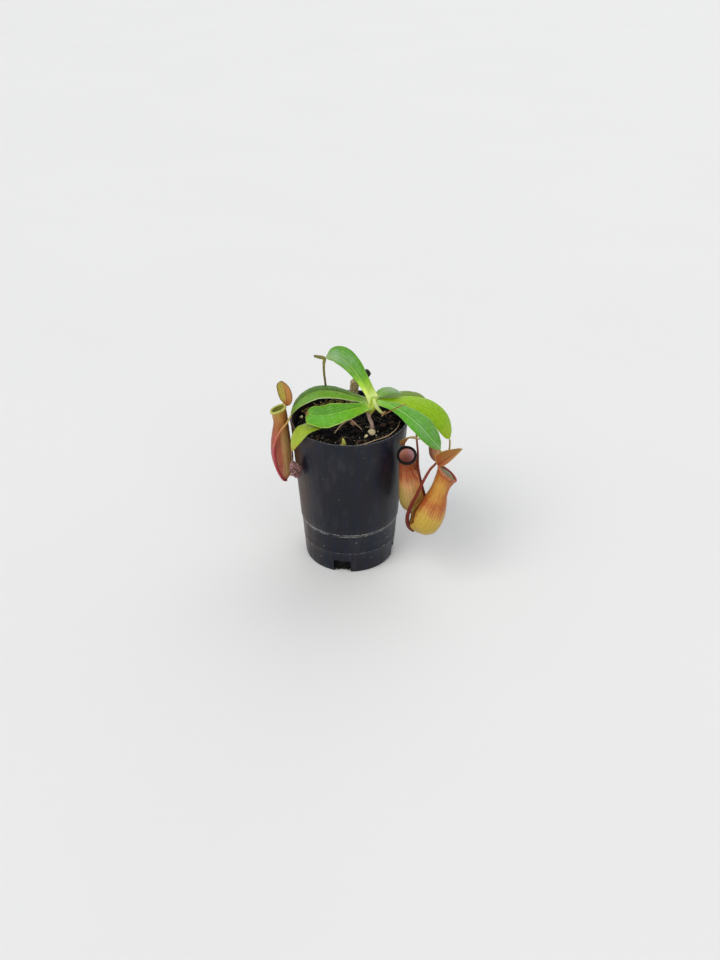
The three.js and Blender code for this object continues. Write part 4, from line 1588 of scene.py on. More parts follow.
@dataclass
class RolledLip:
    """The ribbed lip, rolled over the edge of a cup."""

    cup: Cup
    slot: str
    look: LipFinish
    thick: float
    skirt: float = 0.35
    RIBS: ClassVar[int] = 58
    RIB_STEPS: ClassVar[int] = 7
    SIDES: ClassVar[int] = 22
    RIDGE: ClassVar[float] = 0.085
    GAP: ClassVar[float] = 0.3
    CUP_WALL: ClassVar[float] = 0.85

    def build(self) -> None:
        """Make the lip."""
        centre, normal, first, second = (v[0] for v in self.cup.station(np.array([1.0])))
        end = float(lookup(self.cup.radii, np.array([1.0]))[0])
        radius = end - self.CUP_WALL / 2 + self.thick * 0.35
        steps, sides = self.RIBS * self.RIB_STEPS, self.SIDES
        turn, roll = circle(steps), circle(sides)
        out = first * np.cos(turn)[:, None] + second * np.sin(turn)[:, None]
        ridge = 1 + self.RIDGE * np.cos(self.RIBS * turn)[:, None]
        reach = self.thick * ridge * (1 + 0.12 * np.cos(roll)[None, :])
        droop = self.skirt * self.thick * np.maximum(np.cos(roll + 0.35), 0)[None, :] ** 2
        peak = self.thick * 0.9 * bell(np.angle(np.exp(1j * turn)), 0.42)[:, None]
        waver = 0.12 * self.thick * np.sin(3 * turn + 0.7)[:, None]
        lift = reach * np.sin(roll) * 1.12 - droop + peak * (1 + np.sin(roll)) / 2 + waver
        points = (
            centre + normal * (self.GAP * 0.6 + self.thick)
            + out[:, None] * (radius + reach * np.cos(roll))[..., None]
            + normal * lift[..., None]
        )
        share = even(sides + 1, steps).transpose(1, 0, 2)
        skin = Skin()
        skin.grid(points, share, share, closed=True, looped=True, flip=True)
        name = f"pitcher_{self.cup.side}"
        mount(skin.make(f"{name}_rolled_lip", [self.look], 180), self.slot, f"{name}_lip")


@dataclass
class Pitcher:
    """One whole pitcher: its cup, its lip and its lid."""

    cup: Cup
    lip_slot: str
    lip_look: LipFinish
    lip_thick: float
    lid: Blade

    def build(self) -> None:
        """Make the three pieces."""
        for part in (self.cup, RolledLip(self.cup, self.lip_slot, self.lip_look, self.lip_thick), self.lid):
            part.build()


def lid(side: str, look: LidFinish, **shape: Path | Table | float) -> Blade:
    """A pitcher's lid: a short blade with one look on both faces.

    Args:
        side: Which pitcher.
        look: Its finish.
        **shape: The blade's own tables and sizes.

    Returns:
        The blade.
    """
    ends = {"tuck": 0.5, "round_tip": 0.12, "round_base": 0.06}
    return Blade(
        f"pitcher_{side}_lid", "pitcher_lid", look, look, groove=0.1, keel=0.3, rows=56, **ends, **shape,
    )


# ---- pot and soil ---------------------------------------------------------------------------


@dataclass
class NurseryPot:
    """The tapered tube pot, turned and then cut with four drain slots."""

    rim_radius: float = 37.5
    base_radius: float = 29.85
    wall: float = 1.1
    floor: float = 1.4
    slots: int = 4
    slot_angle: float = -99.4
    slot_width: float = 11.3
    slot_height: float = 9.2
    slot_inner: float = 24.6
    segments: int = 240
    HEIGHT: ClassVar[float] = 101.45
    STEP_FOOT: ClassVar[float] = 30.5
    STEP_TOP: ClassVar[float] = 31.0
    STEP: ClassVar[float] = 0.5
    BAND: ClassVar[float] = 15.5
    FOOT_ROUND: ClassVar[float] = 0.8

    def outer(self, z: float) -> float:
        """Outer radius at a height."""
        slope = (self.rim_radius - self.base_radius - self.STEP) / self.HEIGHT
        return self.base_radius + slope * z + (self.STEP if z > self.STEP_FOOT else 0.0)

    def _outline(self) -> list[tuple[float, float]]:
        """Radius and height round the wall's section, from the base's centre to the floor's.

        Returns:
            The outline's corners, in order.
        """
        height, wall, top, foot = self.HEIGHT, self.wall, self.STEP_TOP, self.STEP_FOOT
        bead, edge = height - 1.6, self.outer(height)
        bend = self.FOOT_ROUND
        base = self.base_radius - bend
        made = [(self.base_radius * 0.6, 0.0), (base, 0.0)]
        made += [(base + bend * math.sin(a), bend - bend * math.cos(a)) for a in (0.4, 0.8, 1.2)]
        made += [(self.outer(z), z) for z in (0.8, 5.0, 10.0, self.BAND - 0.35)]
        line = self.BAND
        made += [(self.outer(line) + 0.14, line), (self.outer(line + 0.35), line + 0.35)]
        made += [(self.outer(z), z) for z in (20.0, 25.0, foot - 0.3)]
        made += [(self.outer(foot) + 0.06, foot), (self.outer(top) - 0.08, top - 0.1)]
        made += [(self.outer(top) + 0.03, top + 0.12)]
        made += [(self.outer(z), z) for z in (36.0, 45.0, 60.0, 75.0, 90.0, bead)]
        made += [(self.outer(bead) + 0.2, bead + 0.15), (self.outer(bead) + 0.3, bead + 0.4)]
        made += [(edge, height - 0.45), (edge - 0.12, height - 0.12), (edge - 0.35, height)]
        made += [(edge - wall + 0.25, height), (edge - wall, height - 0.25)]
        made += [(self.outer(z) - wall, z) for z in (90.0, 60.0, top + 0.2)]
        made += [(self.outer(foot) - wall, foot - 0.2), (self.outer(self.floor) - wall, self.floor)]
        return [*made, (15.0, self.floor)]

    def _body(self) -> bpy.types.Object:
        """The turned body, before the slots.

        Returns:
            The body.
        """
        outline = np.array(self._outline())
        turn = circle(self.segments)
        high = np.repeat(outline[:, 1:], self.segments, axis=1)
        points = np.stack([outline[:, :1] * np.cos(turn), outline[:, :1] * np.sin(turn), high], axis=-1)
        share = even(len(points), self.segments)
        skin = Skin()
        ids = skin.grid(points, share, share, closed=True)
        skin.fan(ids[0], (0, 0, 0), 0.0, True)
        skin.fan(ids[-1], (0, 0, self.floor), 1.0, False)
        return skin.make("pot_blank", [PotFinish()])

    def _cutter(self) -> bpy.types.Object:
        """The four blocks that cut the drain slots.

        Returns:
            The blocks as one object.
        """
        shape = bmesh.new()
        reach = self.base_radius + 6 - self.slot_inner
        for k in range(self.slots):
            block = bmesh.new()
            bmesh.ops.create_cube(block, size=1.0)
            bmesh.ops.scale(block, vec=(reach, self.slot_width, self.slot_height + 1), verts=block.verts)
            top = [e for e in block.edges if all(v.co.z > 0 for v in e.verts)]
            level = [e for e in top if abs(e.verts[0].co.y - e.verts[1].co.y) < 1e-6]
            bmesh.ops.bevel(block, geom=level, offset=0.7, segments=4, affect="EDGES", profile=0.5)
            middle = (self.slot_inner + reach / 2, 0, (self.slot_height - 1) / 2)
            bmesh.ops.translate(block, vec=middle, verts=block.verts)
            turned = math.radians(self.slot_angle + 360 / self.slots * k)
            cosine, sine = math.cos(turned), math.sin(turned)
            spin = np.array([[cosine, -sine, 0], [sine, cosine, 0], [0, 0, 1]])
            made = {v: shape.verts.new(Vector(spin @ np.array(v.co)) * MM) for v in block.verts}
            for face in block.faces:
                shape.faces.new([made[v] for v in face.verts])
            block.free()
        mesh = bpy.data.meshes.new("slot_cutter")
        shape.to_mesh(mesh)
        shape.free()
        return put("slot_cutter", mesh)

    def build(self) -> None:
        """Make the pot."""
        body, cutter = self._body(), self._cutter()
        cut = body.modifiers.new("slots", "BOOLEAN")
        cut.operation, cut.solver, cut.object = "DIFFERENCE", "EXACT", cutter
        bpy.context.view_layer.update()
        mesh = bpy.data.meshes.new_from_object(body.evaluated_get(bpy.context.evaluated_depsgraph_get()))
        mesh.name = "tube_pot"
        for spare in (body, cutter):
            bpy.data.objects.remove(spare)
        mount(place_mesh(mesh, "tube_pot", 28), "pot_plastic", "pot")


@dataclass
class SoilBed:
    """The soil: its body in the pot, its uneven top, and the bits that lie in it."""

    pot: NurseryPot
    clearance: float = 0.35
    bottom: float = 1.75
    level: float = 94.3
    rings: int = 100
    sectors: int = 220
    layers: int = 44
    chips: Bits = (
        (1.0, 9.0, 4.2, 3.0, 2.2, 20), (21.6, -2.5, 4.6, 3.0, 2.4, -25),
        (-23.0, 9.5, 5.0, 2.2, 1.8, 35), (-14.0, 20.0, 6.5, 2.6, 2.0, -12),
        (-4.0, 24.0, 5.0, 2.4, 2.2, 50), (9.0, 22.0, 4.0, 2.8, 2.0, 5),
        (-20.0, -17.0, 3.6, 2.6, 2.0, 60), (-13.0, -25.0, 3.2, 2.4, 2.2, 15),
        (-8.0, -28.0, 2.8, 2.2, 2.0, -40), (6.0, -22.0, 5.2, 2.2, 1.6, 70),
        (24.0, -13.0, 4.8, 2.0, 1.8, -60), (27.0, 4.0, 4.4, 2.6, 1.8, 25),
        (-29.0, -3.0, 4.6, 2.2, 1.8, 80),
    )
    knobs: Bits = ((2.5, 0.5, 4.4, 3.6, 3.2, 20), (-5.0, -24.0, 2.2, 1.4, 1.2, 50))
    lumps: Bits = (
        (14.3, -13.2, 5.0, 4.2, 3.8, -20), (10.9, -14.4, 2.6, 2.0, 1.6, 40),
        (17.2, -12.6, 1.4, 1.1, 1.0, 0), (-31.0, 11.0, 3.2, 1.6, 1.2, 75),
        (-28.0, 16.0, 2.6, 1.2, 1.0, 20), (-18.5, -22.5, 2.2, 1.4, 1.1, 10),
    )

    FIBRE_FIELD: ClassVar[float] = 31.0
    FIBRE_LIMIT: ClassVar[float] = 33.0

    def height(self, x: Array, y: Array) -> Array:
        """Height of the soil's top, before its crumbs.

        Args:
            x: Places across.
            y: Places from front to back.

        Returns:
            Heights in millimetres.
        """
        mound = 1.3 * np.exp(-((x - 13) ** 2 + (y + 6) ** 2) / 160)
        coarse = 0.75 * np.sin(0.31 * x + 1.1) * np.cos(0.27 * y - 0.4)
        fine = 0.55 * np.sin(0.83 * x - 0.51 * y + 2.2) + 0.4 * np.cos(0.47 * x + 0.97 * y)
        return self.level + mound + coarse + fine

    def _ground(self, x: float, y: float) -> float:
        """Height of the top at one place."""
        return float(self.height(np.array(x), np.array(y)))

    def _top(self, skin: Skin) -> Array:
        """Add the crumbly top, and give back its outer ring.

        Args:
            skin: The soil's skin.

        Returns:
            The ring's point numbers.
        """
        edge = self.pot.outer(self.level - 2.5) - self.pot.wall - self.clearance
        radius = np.linspace(edge, 0.25, self.rings)[:, None]
        turn = circle(self.sectors)[None, :]
        x, y = radius * np.cos(turn), radius * np.sin(turn)
        flat = np.stack([x, y, np.zeros_like(x)], axis=-1)
        crumbs = 0.75 * rough(flat, 0.28, 4) + 0.5 * np.abs(rough(flat, 0.75, 3, 9.0)) - 0.15
        drop = 2.2 * bell(edge - radius, 1.1)
        points = np.stack([x, y, self.height(x, y) + crumbs - drop], axis=-1)
        share = even(self.rings, self.sectors)
        ids = skin.grid(points, share, share, closed=True)
        skin.fan(ids[-1], (0, 0, self._ground(0.0, 0.0)), 1.0, False)
        return ids[0]

    def _side(self, skin: Skin, ring: Array) -> None:
        """Add the side and the bottom below the top's outer ring.

        Args:
            skin: The soil's skin.
            ring: The top's outer ring.
        """
        z = np.linspace(self.level - 5.0, self.bottom, self.layers)[:, None]
        inset = self.pot.wall + self.clearance
        radius = np.vectorize(self.pot.outer)(z - 0.8) - inset
        turn = circle(self.sectors)[None, :]
        high = np.broadcast_to(z, (self.layers, self.sectors))
        points = np.stack([radius * np.cos(turn), radius * np.sin(turn), high], -1)
        dents = np.abs(rough(points, 0.35, 3)) * 1.6 * ease(24 - z, 0, 8)
        scale = (radius - dents) / radius
        points[..., :2] *= scale[..., None]
        share = even(self.layers, self.sectors)
        ids = skin.grid(points, share, share, closed=True, flip=True)
        nowhere = np.zeros((self.sectors + 1, 2))
        skin.strip(np.append(ring, ring[0]), np.append(ids[0], ids[0][0]), nowhere, nowhere)
        skin.fan(ids[-1], (0, 0, self.bottom), 1.0, True)

    @staticmethod
    def _lump(skin: Skin, where: Array, size: Array, turn: tuple[float, float], seed: float) -> None:
        """Add one irregular lump.

        Args:
            skin: What it is added to.
            where: Its centre.
            size: Its length, width and height.
            turn: Its turn about the vertical, and its tilt, in radians.
            seed: Picks its roughness.
        """
        ball = bmesh.new()
        bmesh.ops.create_icosphere(ball, subdivisions=3, radius=0.5)
        points = np.array([v.co for v in ball.verts])
        faces = np.array([[v.index for v in f.verts] for f in ball.faces])
        ball.free()
        points = points * (1 + 0.34 * rough(points, 1.7, 3, seed))[:, None] * size
        points[:, 2] += points[:, 0] * math.sin(turn[1]) * 0.7
        cosine, sine = math.cos(turn[0]), math.sin(turn[0])
        spin = np.array([[cosine, -sine], [sine, cosine]])
        points[:, :2] = points[:, :2] @ spin.T
        ids = skin.add_points(points + where)
        places = np.zeros((len(faces), 3, 2))
        skin.add_faces(ids[faces], places, places, 0)

    def _laid(self, name: str, look: DryFinish, bits: Bits, slot: str, scale: float = 1.0) -> None:
        """Lay single bits on the top.

        Args:
            name: The piece's name.
            look: Its finish.
            bits: Place across and along, length, width, height and turn in degrees of each.
            slot: The record's material slot.
            scale: Makes all of them larger.
        """
        skin = Skin()
        for k, (x, y, length, width, high, turned) in enumerate(bits):
            z = self._ground(x, y) + high * 0.25
            size = np.array([length, width, high]) * scale
            turn = (math.radians(turned), 0.3 * math.sin(k * 2.1))
            self._lump(skin, np.array([x, y, z]), size, turn, k * 3.7)
        mount(skin.make(name, [look], 60), slot)

    def _scatter(
        self,
        name: str,
        look: DryFinish,
        count: int,
        size: tuple[float, float],
        patches: tuple[tuple[float, float, float], ...],
        seed: int,
        heap: float = 0.0,
    ) -> None:
        """Strew small lumps over the top.

        Args:
            name: The piece's name.
            look: Its finish.
            count: How many lumps.
            size: The least and the greatest length.
            patches: Centre and spread of each patch that they lie in.
            seed: Picks the places.
            heap: How high they may lie on one another.
        """
        draw = np.random.default_rng(seed)
        skin = Skin()
        limit = self.pot.outer(self.level) - self.pot.wall - 2.2
        for _ in range(count):
            x0, y0, wide = patches[draw.integers(len(patches))]
            x, y = draw.normal(x0, wide), draw.normal(y0, wide)
            far = math.hypot(x, y)
            if far > limit:
                x, y = x * limit / far, y * limit / far
            length = draw.uniform(*size)
            shape = np.array([length, length * draw.uniform(0.45, 0.8), length * draw.uniform(0.3, 0.6)])
            z = self._ground(x, y) + 0.25 + shape[2] * 0.2 + heap * draw.uniform(0, 1) ** 2
            turn = (draw.uniform(0, 6.3), draw.uniform(-0.5, 0.5))
            self._lump(skin, np.array([x, y, z]), shape, turn, draw.uniform(0, 50))
        mount(skin.make(name, [look], 60), "soil_mix")

    def _strands(self, count: int, seed: int) -> None:
        """Lay fine fibres on the top.

        Args:
            count: How many.
            seed: Picks their places.
        """
        draw = np.random.default_rng(seed)
        skin = Skin()
        for _ in range(count):
            angle, far = draw.uniform(0, 6.3), self.FIBRE_FIELD * math.sqrt(draw.uniform(0, 1))
            x, y = far * math.cos(angle), far * math.sin(angle)
            heading, length = draw.uniform(0, 6.3), draw.uniform(4, 13)
            path = []
            for step in range(5):
                lift = 0.9 + draw.uniform(-0.5, 0.7)
                far_now = max(math.hypot(x, y) / self.FIBRE_LIMIT, 1.0)
                x, y = x / far_now, y / far_now
                path.append((x, y, self._ground(x, y) + lift))
                heading += draw.uniform(-0.7, 0.7)
                x, y = x + math.cos(heading) * length / 4, y + math.sin(heading) * length / 4
            thick = draw.uniform(0.06, 0.15)
            radii = ((0, thick), (0.5, thick * 1.2), (1, thick * 0.5))
            Stalk("", "", FIBRE, tuple(path), radii, rows=14, sides=5).trace(skin)
        mount(skin.make("soil_fibres", [FIBRE], 90), "woody")

    def _notch_soil(self, count: int, seed: int) -> None:
        """Let crumbs of soil show in the front drain slot.

        Args:
            count: How many.
            seed: Picks their places.
        """
        draw = np.random.default_rng(seed)
        skin = Skin()
        front = math.radians(self.pot.slot_angle)
        inner, outer = self.pot.slot_inner + 1.6, self.pot.base_radius - 1.4
        for _ in range(count):
            aside = draw.uniform(-0.42, 0.42) * self.pot.slot_width
            out, size = draw.uniform(inner, outer), draw.uniform(1.0, 2.4)
            low = draw.uniform(0, 1) < 0.35
            z = size * 0.75 if low else self.pot.slot_height - draw.uniform(0.2, 2.6)
            x = out * math.cos(front) - aside * math.sin(front)
            y = out * math.sin(front) + aside * math.cos(front)
            shape = np.array([size, size * 0.7, size * draw.uniform(0.5, 1.0)])
            self._lump(skin, np.array([x, y, z]), shape, (draw.uniform(0, 6), 0.3), draw.uniform(0, 50))
        mount(skin.make("notch_soil", [CLOD], 60), "soil_mix")

    def build(self) -> None:
        """Make the soil and all that lies in it."""
        skin = Skin()
        ring = self._top(skin)
        self._side(skin, ring)
        mount(skin.make("soil_bed", [SoilFinish()], 75), "soil_mix", "soil")
        self._laid("soil_bark", BARK, self.chips, "soil_mix", 1.15)
        self._laid("soil_knobs", KNOB, self.knobs, "woody")
        self._laid("soil_lumps", PALE_LUMP, self.lumps, "woody")
        self._scatter("soil_clods", CLOD, 260, (0.8, 2.8), ((0, 0, 17), (12, 6, 14), (-10, 5, 14)), 21)
        mossy = ((-14, 27, 5), (-4, 30, 4), (-22, 20, 5))
        self._scatter("soil_moss", MOSS, 230, (0.6, 2.6), mossy, 34, 2.0)
        crumbly = ((-18, -22, 4), (-29, 14, 4), (14, -16, 9))
        self._scatter("soil_crumbs", CRUMB, 90, (0.35, 1.3), crumbly, 55)
        self._strands(46, 89)
        self._notch_soil(18, 13)


# ---- the plant's own finishes ---------------------------------------------------------------

BELOW = ((0.0, "#bfd07a"), (0.3, "#93b559"), (0.8, "#86a957"), (1.0, "#96a552"))
UNDER_GREEN = LeafFinish("leaf_underside", BELOW, rib="#cbd68e", margin="#b0c472", below=True, gloss=0.5)
UNDER_LIME = LeafFinish(
    "lime_leaf_underside", ((0.0, "#c9d274"), (0.4, "#a9c04e"), (1.0, "#a6b84a")), rib="#cfd592",
    margin="#bcc770", below=True, gloss=0.5,
)
TOP_LEAF = LeafFinish(
    "top_leaf",
    ((0.0, "#f4f6b0"), (0.14, "#dcee6c"), (0.27, "#a8d834"), (0.42, "#62a012"), (0.75, "#538d18"),
        (1.0, "#749a3a")),
    rib="#a3c25b", margin="#89b239", painted_sheen=0.4, half="#428d09", second_half=0.45,
)
LEFT_LEAF = LeafFinish(
    "left_leaf",
    ((0.0, "#8aa22b"), (0.1, "#587f17"), (0.3, "#37600c"), (0.65, "#39640d"), (0.85, "#4e720e"),
        (1.0, "#707f17")),
    rib="#8b9c3b", margin="#bccf8c", margin_at=0.91, painted_sheen=0.1, half="#6fa42c", first_half=0.65,
    stripes=0.22,
)
# Its dark half tone on the second half is painted shade over the far half of the blade.
FRONT_LEAF = LeafFinish(
    "front_leaf",
    ((0.0, "#9bbd31"), (0.12, "#73a91d"), (0.35, "#5ea31a"), (0.7, "#5aa11e"), (0.9, "#5ca224"),
        (1.0, "#689d26")),
    rib="#92c032", margin="#a2c452", margin_at=0.9, painted_sheen=0.06, half="#3f7a1e", second_half=0.6,
    stripes=0.24, worn_tip=0.03,
)
RIM_LEAF = LeafFinish(
    "leaf_over_the_rim",
    ((0.0, "#96a62f"), (0.4, "#7e961d"), (0.7, "#859e21"), (0.9, "#95a62f"), (1.0, "#a8a039")),
    rib="#a9b74b", margin="#a6b342", stripes=0.42, worn_tip=0.05, worn="#9e8c3a",
)
RIGHT_LEAF = LeafFinish(
    "right_leaf",
    ((0.0, "#9eca3d"), (0.1, "#6dad1d"), (0.3, "#54a00c"), (0.6, "#509c0e"), (0.85, "#498b10"),
        (1.0, "#5c941d")),
    rib="#b4d888", margin="#a4cc74", painted_sheen=0.22, half="#548f24", first_half=0.3, stripes=0.14,
)
BRIGHT_LEAF = LeafFinish(
    "bright_leaf",
    ((0.0, "#a9ca14"), (0.2, "#8eb805"), (0.6, "#87b103"), (0.85, "#82ab06"), (1.0, "#99b014")),
    rib="#a7ca19", margin="#abcc1b", blemish="#96770a", stripes=0.12,
)
SMALL_LEAF = LeafFinish(
    "small_back_leaf", ((0.0, "#a6c05a"), (0.25, "#6c9836"), (0.6, "#618c3f"), (1.0, "#7e9f5d")),
    rib="#99ba6b", margin="#7eaa5a", painted_sheen=0.35,
)
OLIVE_LEAF = LeafFinish(
    "olive_back_leaf", ((0.0, "#8ca317"), (0.3, "#66880a"), (0.7, "#5f8008"), (1.0, "#6c720b")),
    rib="#88a11e", margin="#796d0f", worn_tip=0.06,
)
FIBRE = DryFinish("fibre", "#2e2118", "#6e563f", "#b39a78", relief=0.05)
BARK = DryFinish("bark", "#150f0c", "#3f2b1e", "#7d5a3f", scale=1.4, relief=0.3)
CLOD = DryFinish("clod", "#050404", "#0f0c0a", "#2b2119", scale=1.6, relief=0.3, gloss=0.7)
MOSS = DryFinish("dried_moss", "#2b2713", "#5c5428", "#94864c", scale=2.0, relief=0.25, gloss=0.85)
CRUMB = DryFinish("pale_crumb", "#5b4d34", "#a09068", "#dcd2ac", scale=2.0, relief=0.15)
KNOB = DryFinish("dried_knob", "#7a5344", "#b98c70", "#dcb898", fibres=12.0, relief=0.25)
PALE_LUMP = DryFinish("pale_lump", "#a3946c", "#ddd0a6", "#f6efd6", fibres=12.0, relief=0.2)
WOOD = DryFinish("stem_wood", "#94756a", "#d8b8a2", "#f2dfcc", fibres=14.0, relief=0.25, gloss=0.5)
ROOT = DryFinish("root", "#7a6048", "#c0a07e", "#e2ccaa", fibres=12.0, relief=0.12)
HUSK = DryFinish("dried_pitcher", "#3a2426", "#8e6462", "#dabcb0", scale=1.2, relief=0.4, gloss=0.5)
TAN_HUSK = DryFinish("old_pitcher", "#64553a", "#a5946a", "#cdbf95", fibres=16.0, relief=0.25)
BLACK_HUSK = DryFinish("blackened_hood", "#0b0908", "#211b18", "#54473d", relief=0.25, gloss=0.45)
OLIVE_STALK = StalkFinish(
    "dry_tendril", ((0.0, "#6a6a34"), (0.15, "#8a843e"), (0.4, "#7d6c3c"), (1.0, "#5a4a30")), "#3c2d1d",
    0.55, 0.5,
)
CROWN_LOOK = StalkFinish(
    "crown", ((0.0, "#a89a55"), (0.25, "#abb83e"), (0.7, "#bed24e"), (1.0, "#9cc03a")), "#8a9a3a", 0.32,
    0.25,
)
YOUNG_LOOK = StalkFinish(
    "young_leaf",
    ((0.0, "#cfdc86"), (0.4, "#bccb76"), (0.75, "#a9b468"), (0.9, "#94784a"), (1.0, "#7a5436")), "#8a9a4c",
    0.4, 0.3,
)
SPROUT_LOOK = StalkFinish(
    "sprout", ((0.0, "#6a6a2c"), (0.5, "#a8a848"), (1.0, "#c9c866")), "#6f6a2e", 0.5, 0.35,
)
YOUNG_TENDRIL = StalkFinish(
    "young_tendril", ((0.0, "#94763c"), (0.3, "#905c34"), (0.8, "#9c4e2a"), (1.0, "#b0643a")), "#6d3420",
    0.45,
)
LEFT_TENDRIL = StalkFinish(
    "left_tendril",
    ((0.0, "#bcb45a"), (0.12, "#c69a58"), (0.28, "#bd7054"), (0.5, "#b0404a"), (0.8, "#b64650"),
        (1.0, "#943a38")),
    "#7c2f30", 0.36,
)
MIDDLE_TENDRIL = StalkFinish(
    "middle_tendril",
    ((0.0, "#8c7434"), (0.35, "#8f4a28"), (0.5, "#7a3018"), (0.7, "#642014"), (1.0, "#70301c")), "#4a1810",
    0.4,
)
RIGHT_TENDRIL = StalkFinish(
    "right_tendril",
    ((0.0, "#a09a40"), (0.1, "#9a562a"), (0.3, "#7e2e14"), (0.6, "#6c1c0a"), (0.9, "#5c1608"),
        (1.0, "#62220c")),
    "#541310", 0.34,
)
SMALL_TENDRIL = StalkFinish(
    "small_tendril", ((0.0, "#a59a48"), (0.3, "#a1653a"), (1.0, "#8f3c2c")), "#6d2a1f", 0.4,
)
LEFT_SKIN = PitcherFinish(
    "left_pitcher_skin",
    ((0.0, "#9c3c3c"), (0.1, "#a04c46"), (0.3, "#a5684a"), (0.55, "#a86c44"), (0.8, "#ac7434"),
        (1.0, "#bc9440")),
    red="#97302a", band=(0.02, 0.2, 0.66, 0.95), band_share=0.4, neck_share=0.55, mottle="#a88c4a",
    mottling=0.5,
    patches=(
        Patch(0.92, 0.14, 0.05, 0.8, "#a4863c", 0.75), Patch(0.79, 0.11, 0.08, 0.72, "#c2a565", 0.8),
        Patch(0.68, 0.07, 0.2, 0.85, "#94442c", 0.55), Patch(0.48, 0.16, 0.0, 0.9, "#8f3c24", 0.85),
        Patch(0.61, 0.07, -0.1, 0.7, "#b8424c", 0.9), Patch(0.88, 0.1, 0.78, 0.97, "#6c2c18", 0.65),
    ),
)
MIDDLE_SKIN = PitcherFinish(
    "middle_pitcher_skin",
    ((0.0, "#8f6a30"), (0.12, "#a5803c"), (0.35, "#b39250"), (0.52, "#d0925a"), (0.68, "#b86c3c"),
        (0.84, "#994c22"), (1.0, "#843c1c")),
    red="#84241a", band=(0.5, 0.66, 0.8, 1.02), band_share=0.7, neck_share=0.6, mottle="#a39a4e",
    mottling=0.55,
    patches=(
        Patch(0.69, 0.1, 0.08, 0.8, "#857a28", 0.75), Patch(0.26, 0.12, 0.05, 0.5, "#9a9048", 0.5),
        Patch(0.42, 0.1, 0.25, 0.62, "#c29868", 0.45), Patch(0.59, 0.05, 0.1, 0.95, "#642014", 0.8),
    ),
    seams=(Seam(0.60, 0.56, 0.12, 0.98, 0.6), Seam(0.17, 0.2, 0.3, 1.0, 0.5)),
)
RIGHT_SKIN = PitcherFinish(
    "right_pitcher_skin",
    ((0.0, "#a58228"), (0.14, "#b09532"), (0.36, "#ba9c3e"), (0.44, "#c08e42"), (0.54, "#b0662e"),
        (0.66, "#b3742a"), (0.84, "#c28e3c"), (0.94, "#ae6a2a"), (1.0, "#8c4220")),
    red="#a43a1e", band=(0.36, 0.47, 0.56, 0.7), band_share=0.58, neck_share=0.45, mottle="#c4a040",
    mottling=0.55,
    patches=(
        Patch(0.04, 0.11, 0.02, 0.55, "#7f6420", 0.8), Patch(0.11, 0.07, -0.05, 0.5, "#a06c26", 0.75),
        Patch(0.45, 0.1, 0.55, 0.95, "#a8521c", 0.6), Patch(0.98, 0.08, 0.5, 1.0, "#8a3c14", 0.7),
        Patch(0.25, 0.1, 0.6, 0.9, "#c89c3e", 0.6), Patch(0.1, 0.06, -0.1, 0.08, "#8a2c18", 0.7),
    ),
    seams=(
        Seam(0.17, -0.03, 0.02, 0.62, 0.85, 0.026), Seam(0.03, 0.01, 0.56, 0.98, 0.8),
        Seam(0.24, 0.3, 0.42, 0.6, 0.5),
    ),
)
SMALL_SKIN = PitcherFinish(
    "small_pitcher_skin", ((0.0, "#8a2a24"), (0.2, "#b0604a"), (0.5, "#c08a68"), (1.0, "#b06a4a")),
    red="#8f2f24", band=(-0.1, 0.1, 0.3, 0.6), band_share=0.6, neck_share=0.5,
    patches=(Patch(0.4, 0.2, 0.3, 0.9, "#cb9f7c", 0.5),),
)
LEFT_THROAT = ThroatFinish("left_throat", "#4a5a24", "#8fa040", "#a9b552", "#8a6a3a")
MIDDLE_THROAT = ThroatFinish("middle_throat", "#8c4c48", "#e8a08e", "#c8a0a6", "#e08a56")
RIGHT_THROAT = ThroatFinish("right_throat", "#4f4a2c", "#8a8656", "#a8a47c", "#8a6a50")
LIME_LIP = LipFinish("lime_lip", "#a5a944", "#c9cc74", "#cfbf74", 0.4, 0.26)
BLACK_LIP = LipFinish("black_lip", "#040305", "#0a090b", "#2a2a1e", 0.2, 0.14, 0.12)
RED_LIP = LipFinish("red_lip", "#94352c", "#bc6c44", "#b98248", 0.45, 0.24)
LEFT_LID = LidFinish(
    "left_lid", ((0.0, "#96562c"), (0.3, "#b87e3e"), (0.7, "#c88e4c"), (1.0, "#b98a40")), vein="#94492a",
    margin="#6c3216", half="#b5b048", second_half=0.85,
)
MIDDLE_LID = LidFinish(
    "middle_lid", ((0.0, "#7c3f22"), (0.4, "#a8743a"), (1.0, "#ae8c42")), vein="#80401f", margin="#6d4a22",
    half="#948a3c", second_half=0.5,
)
RIGHT_LID = LidFinish(
    "right_lid", ((0.0, "#8f4020"), (0.3, "#a5602e"), (0.7, "#ab7038"), (1.0, "#a8844a")), vein="#6c2c16",
    margin="#b0983e", half="#86602a", first_half=0.5, rim=0.93,
)


# ---- the plant's pieces ---------------------------------------------------------------------

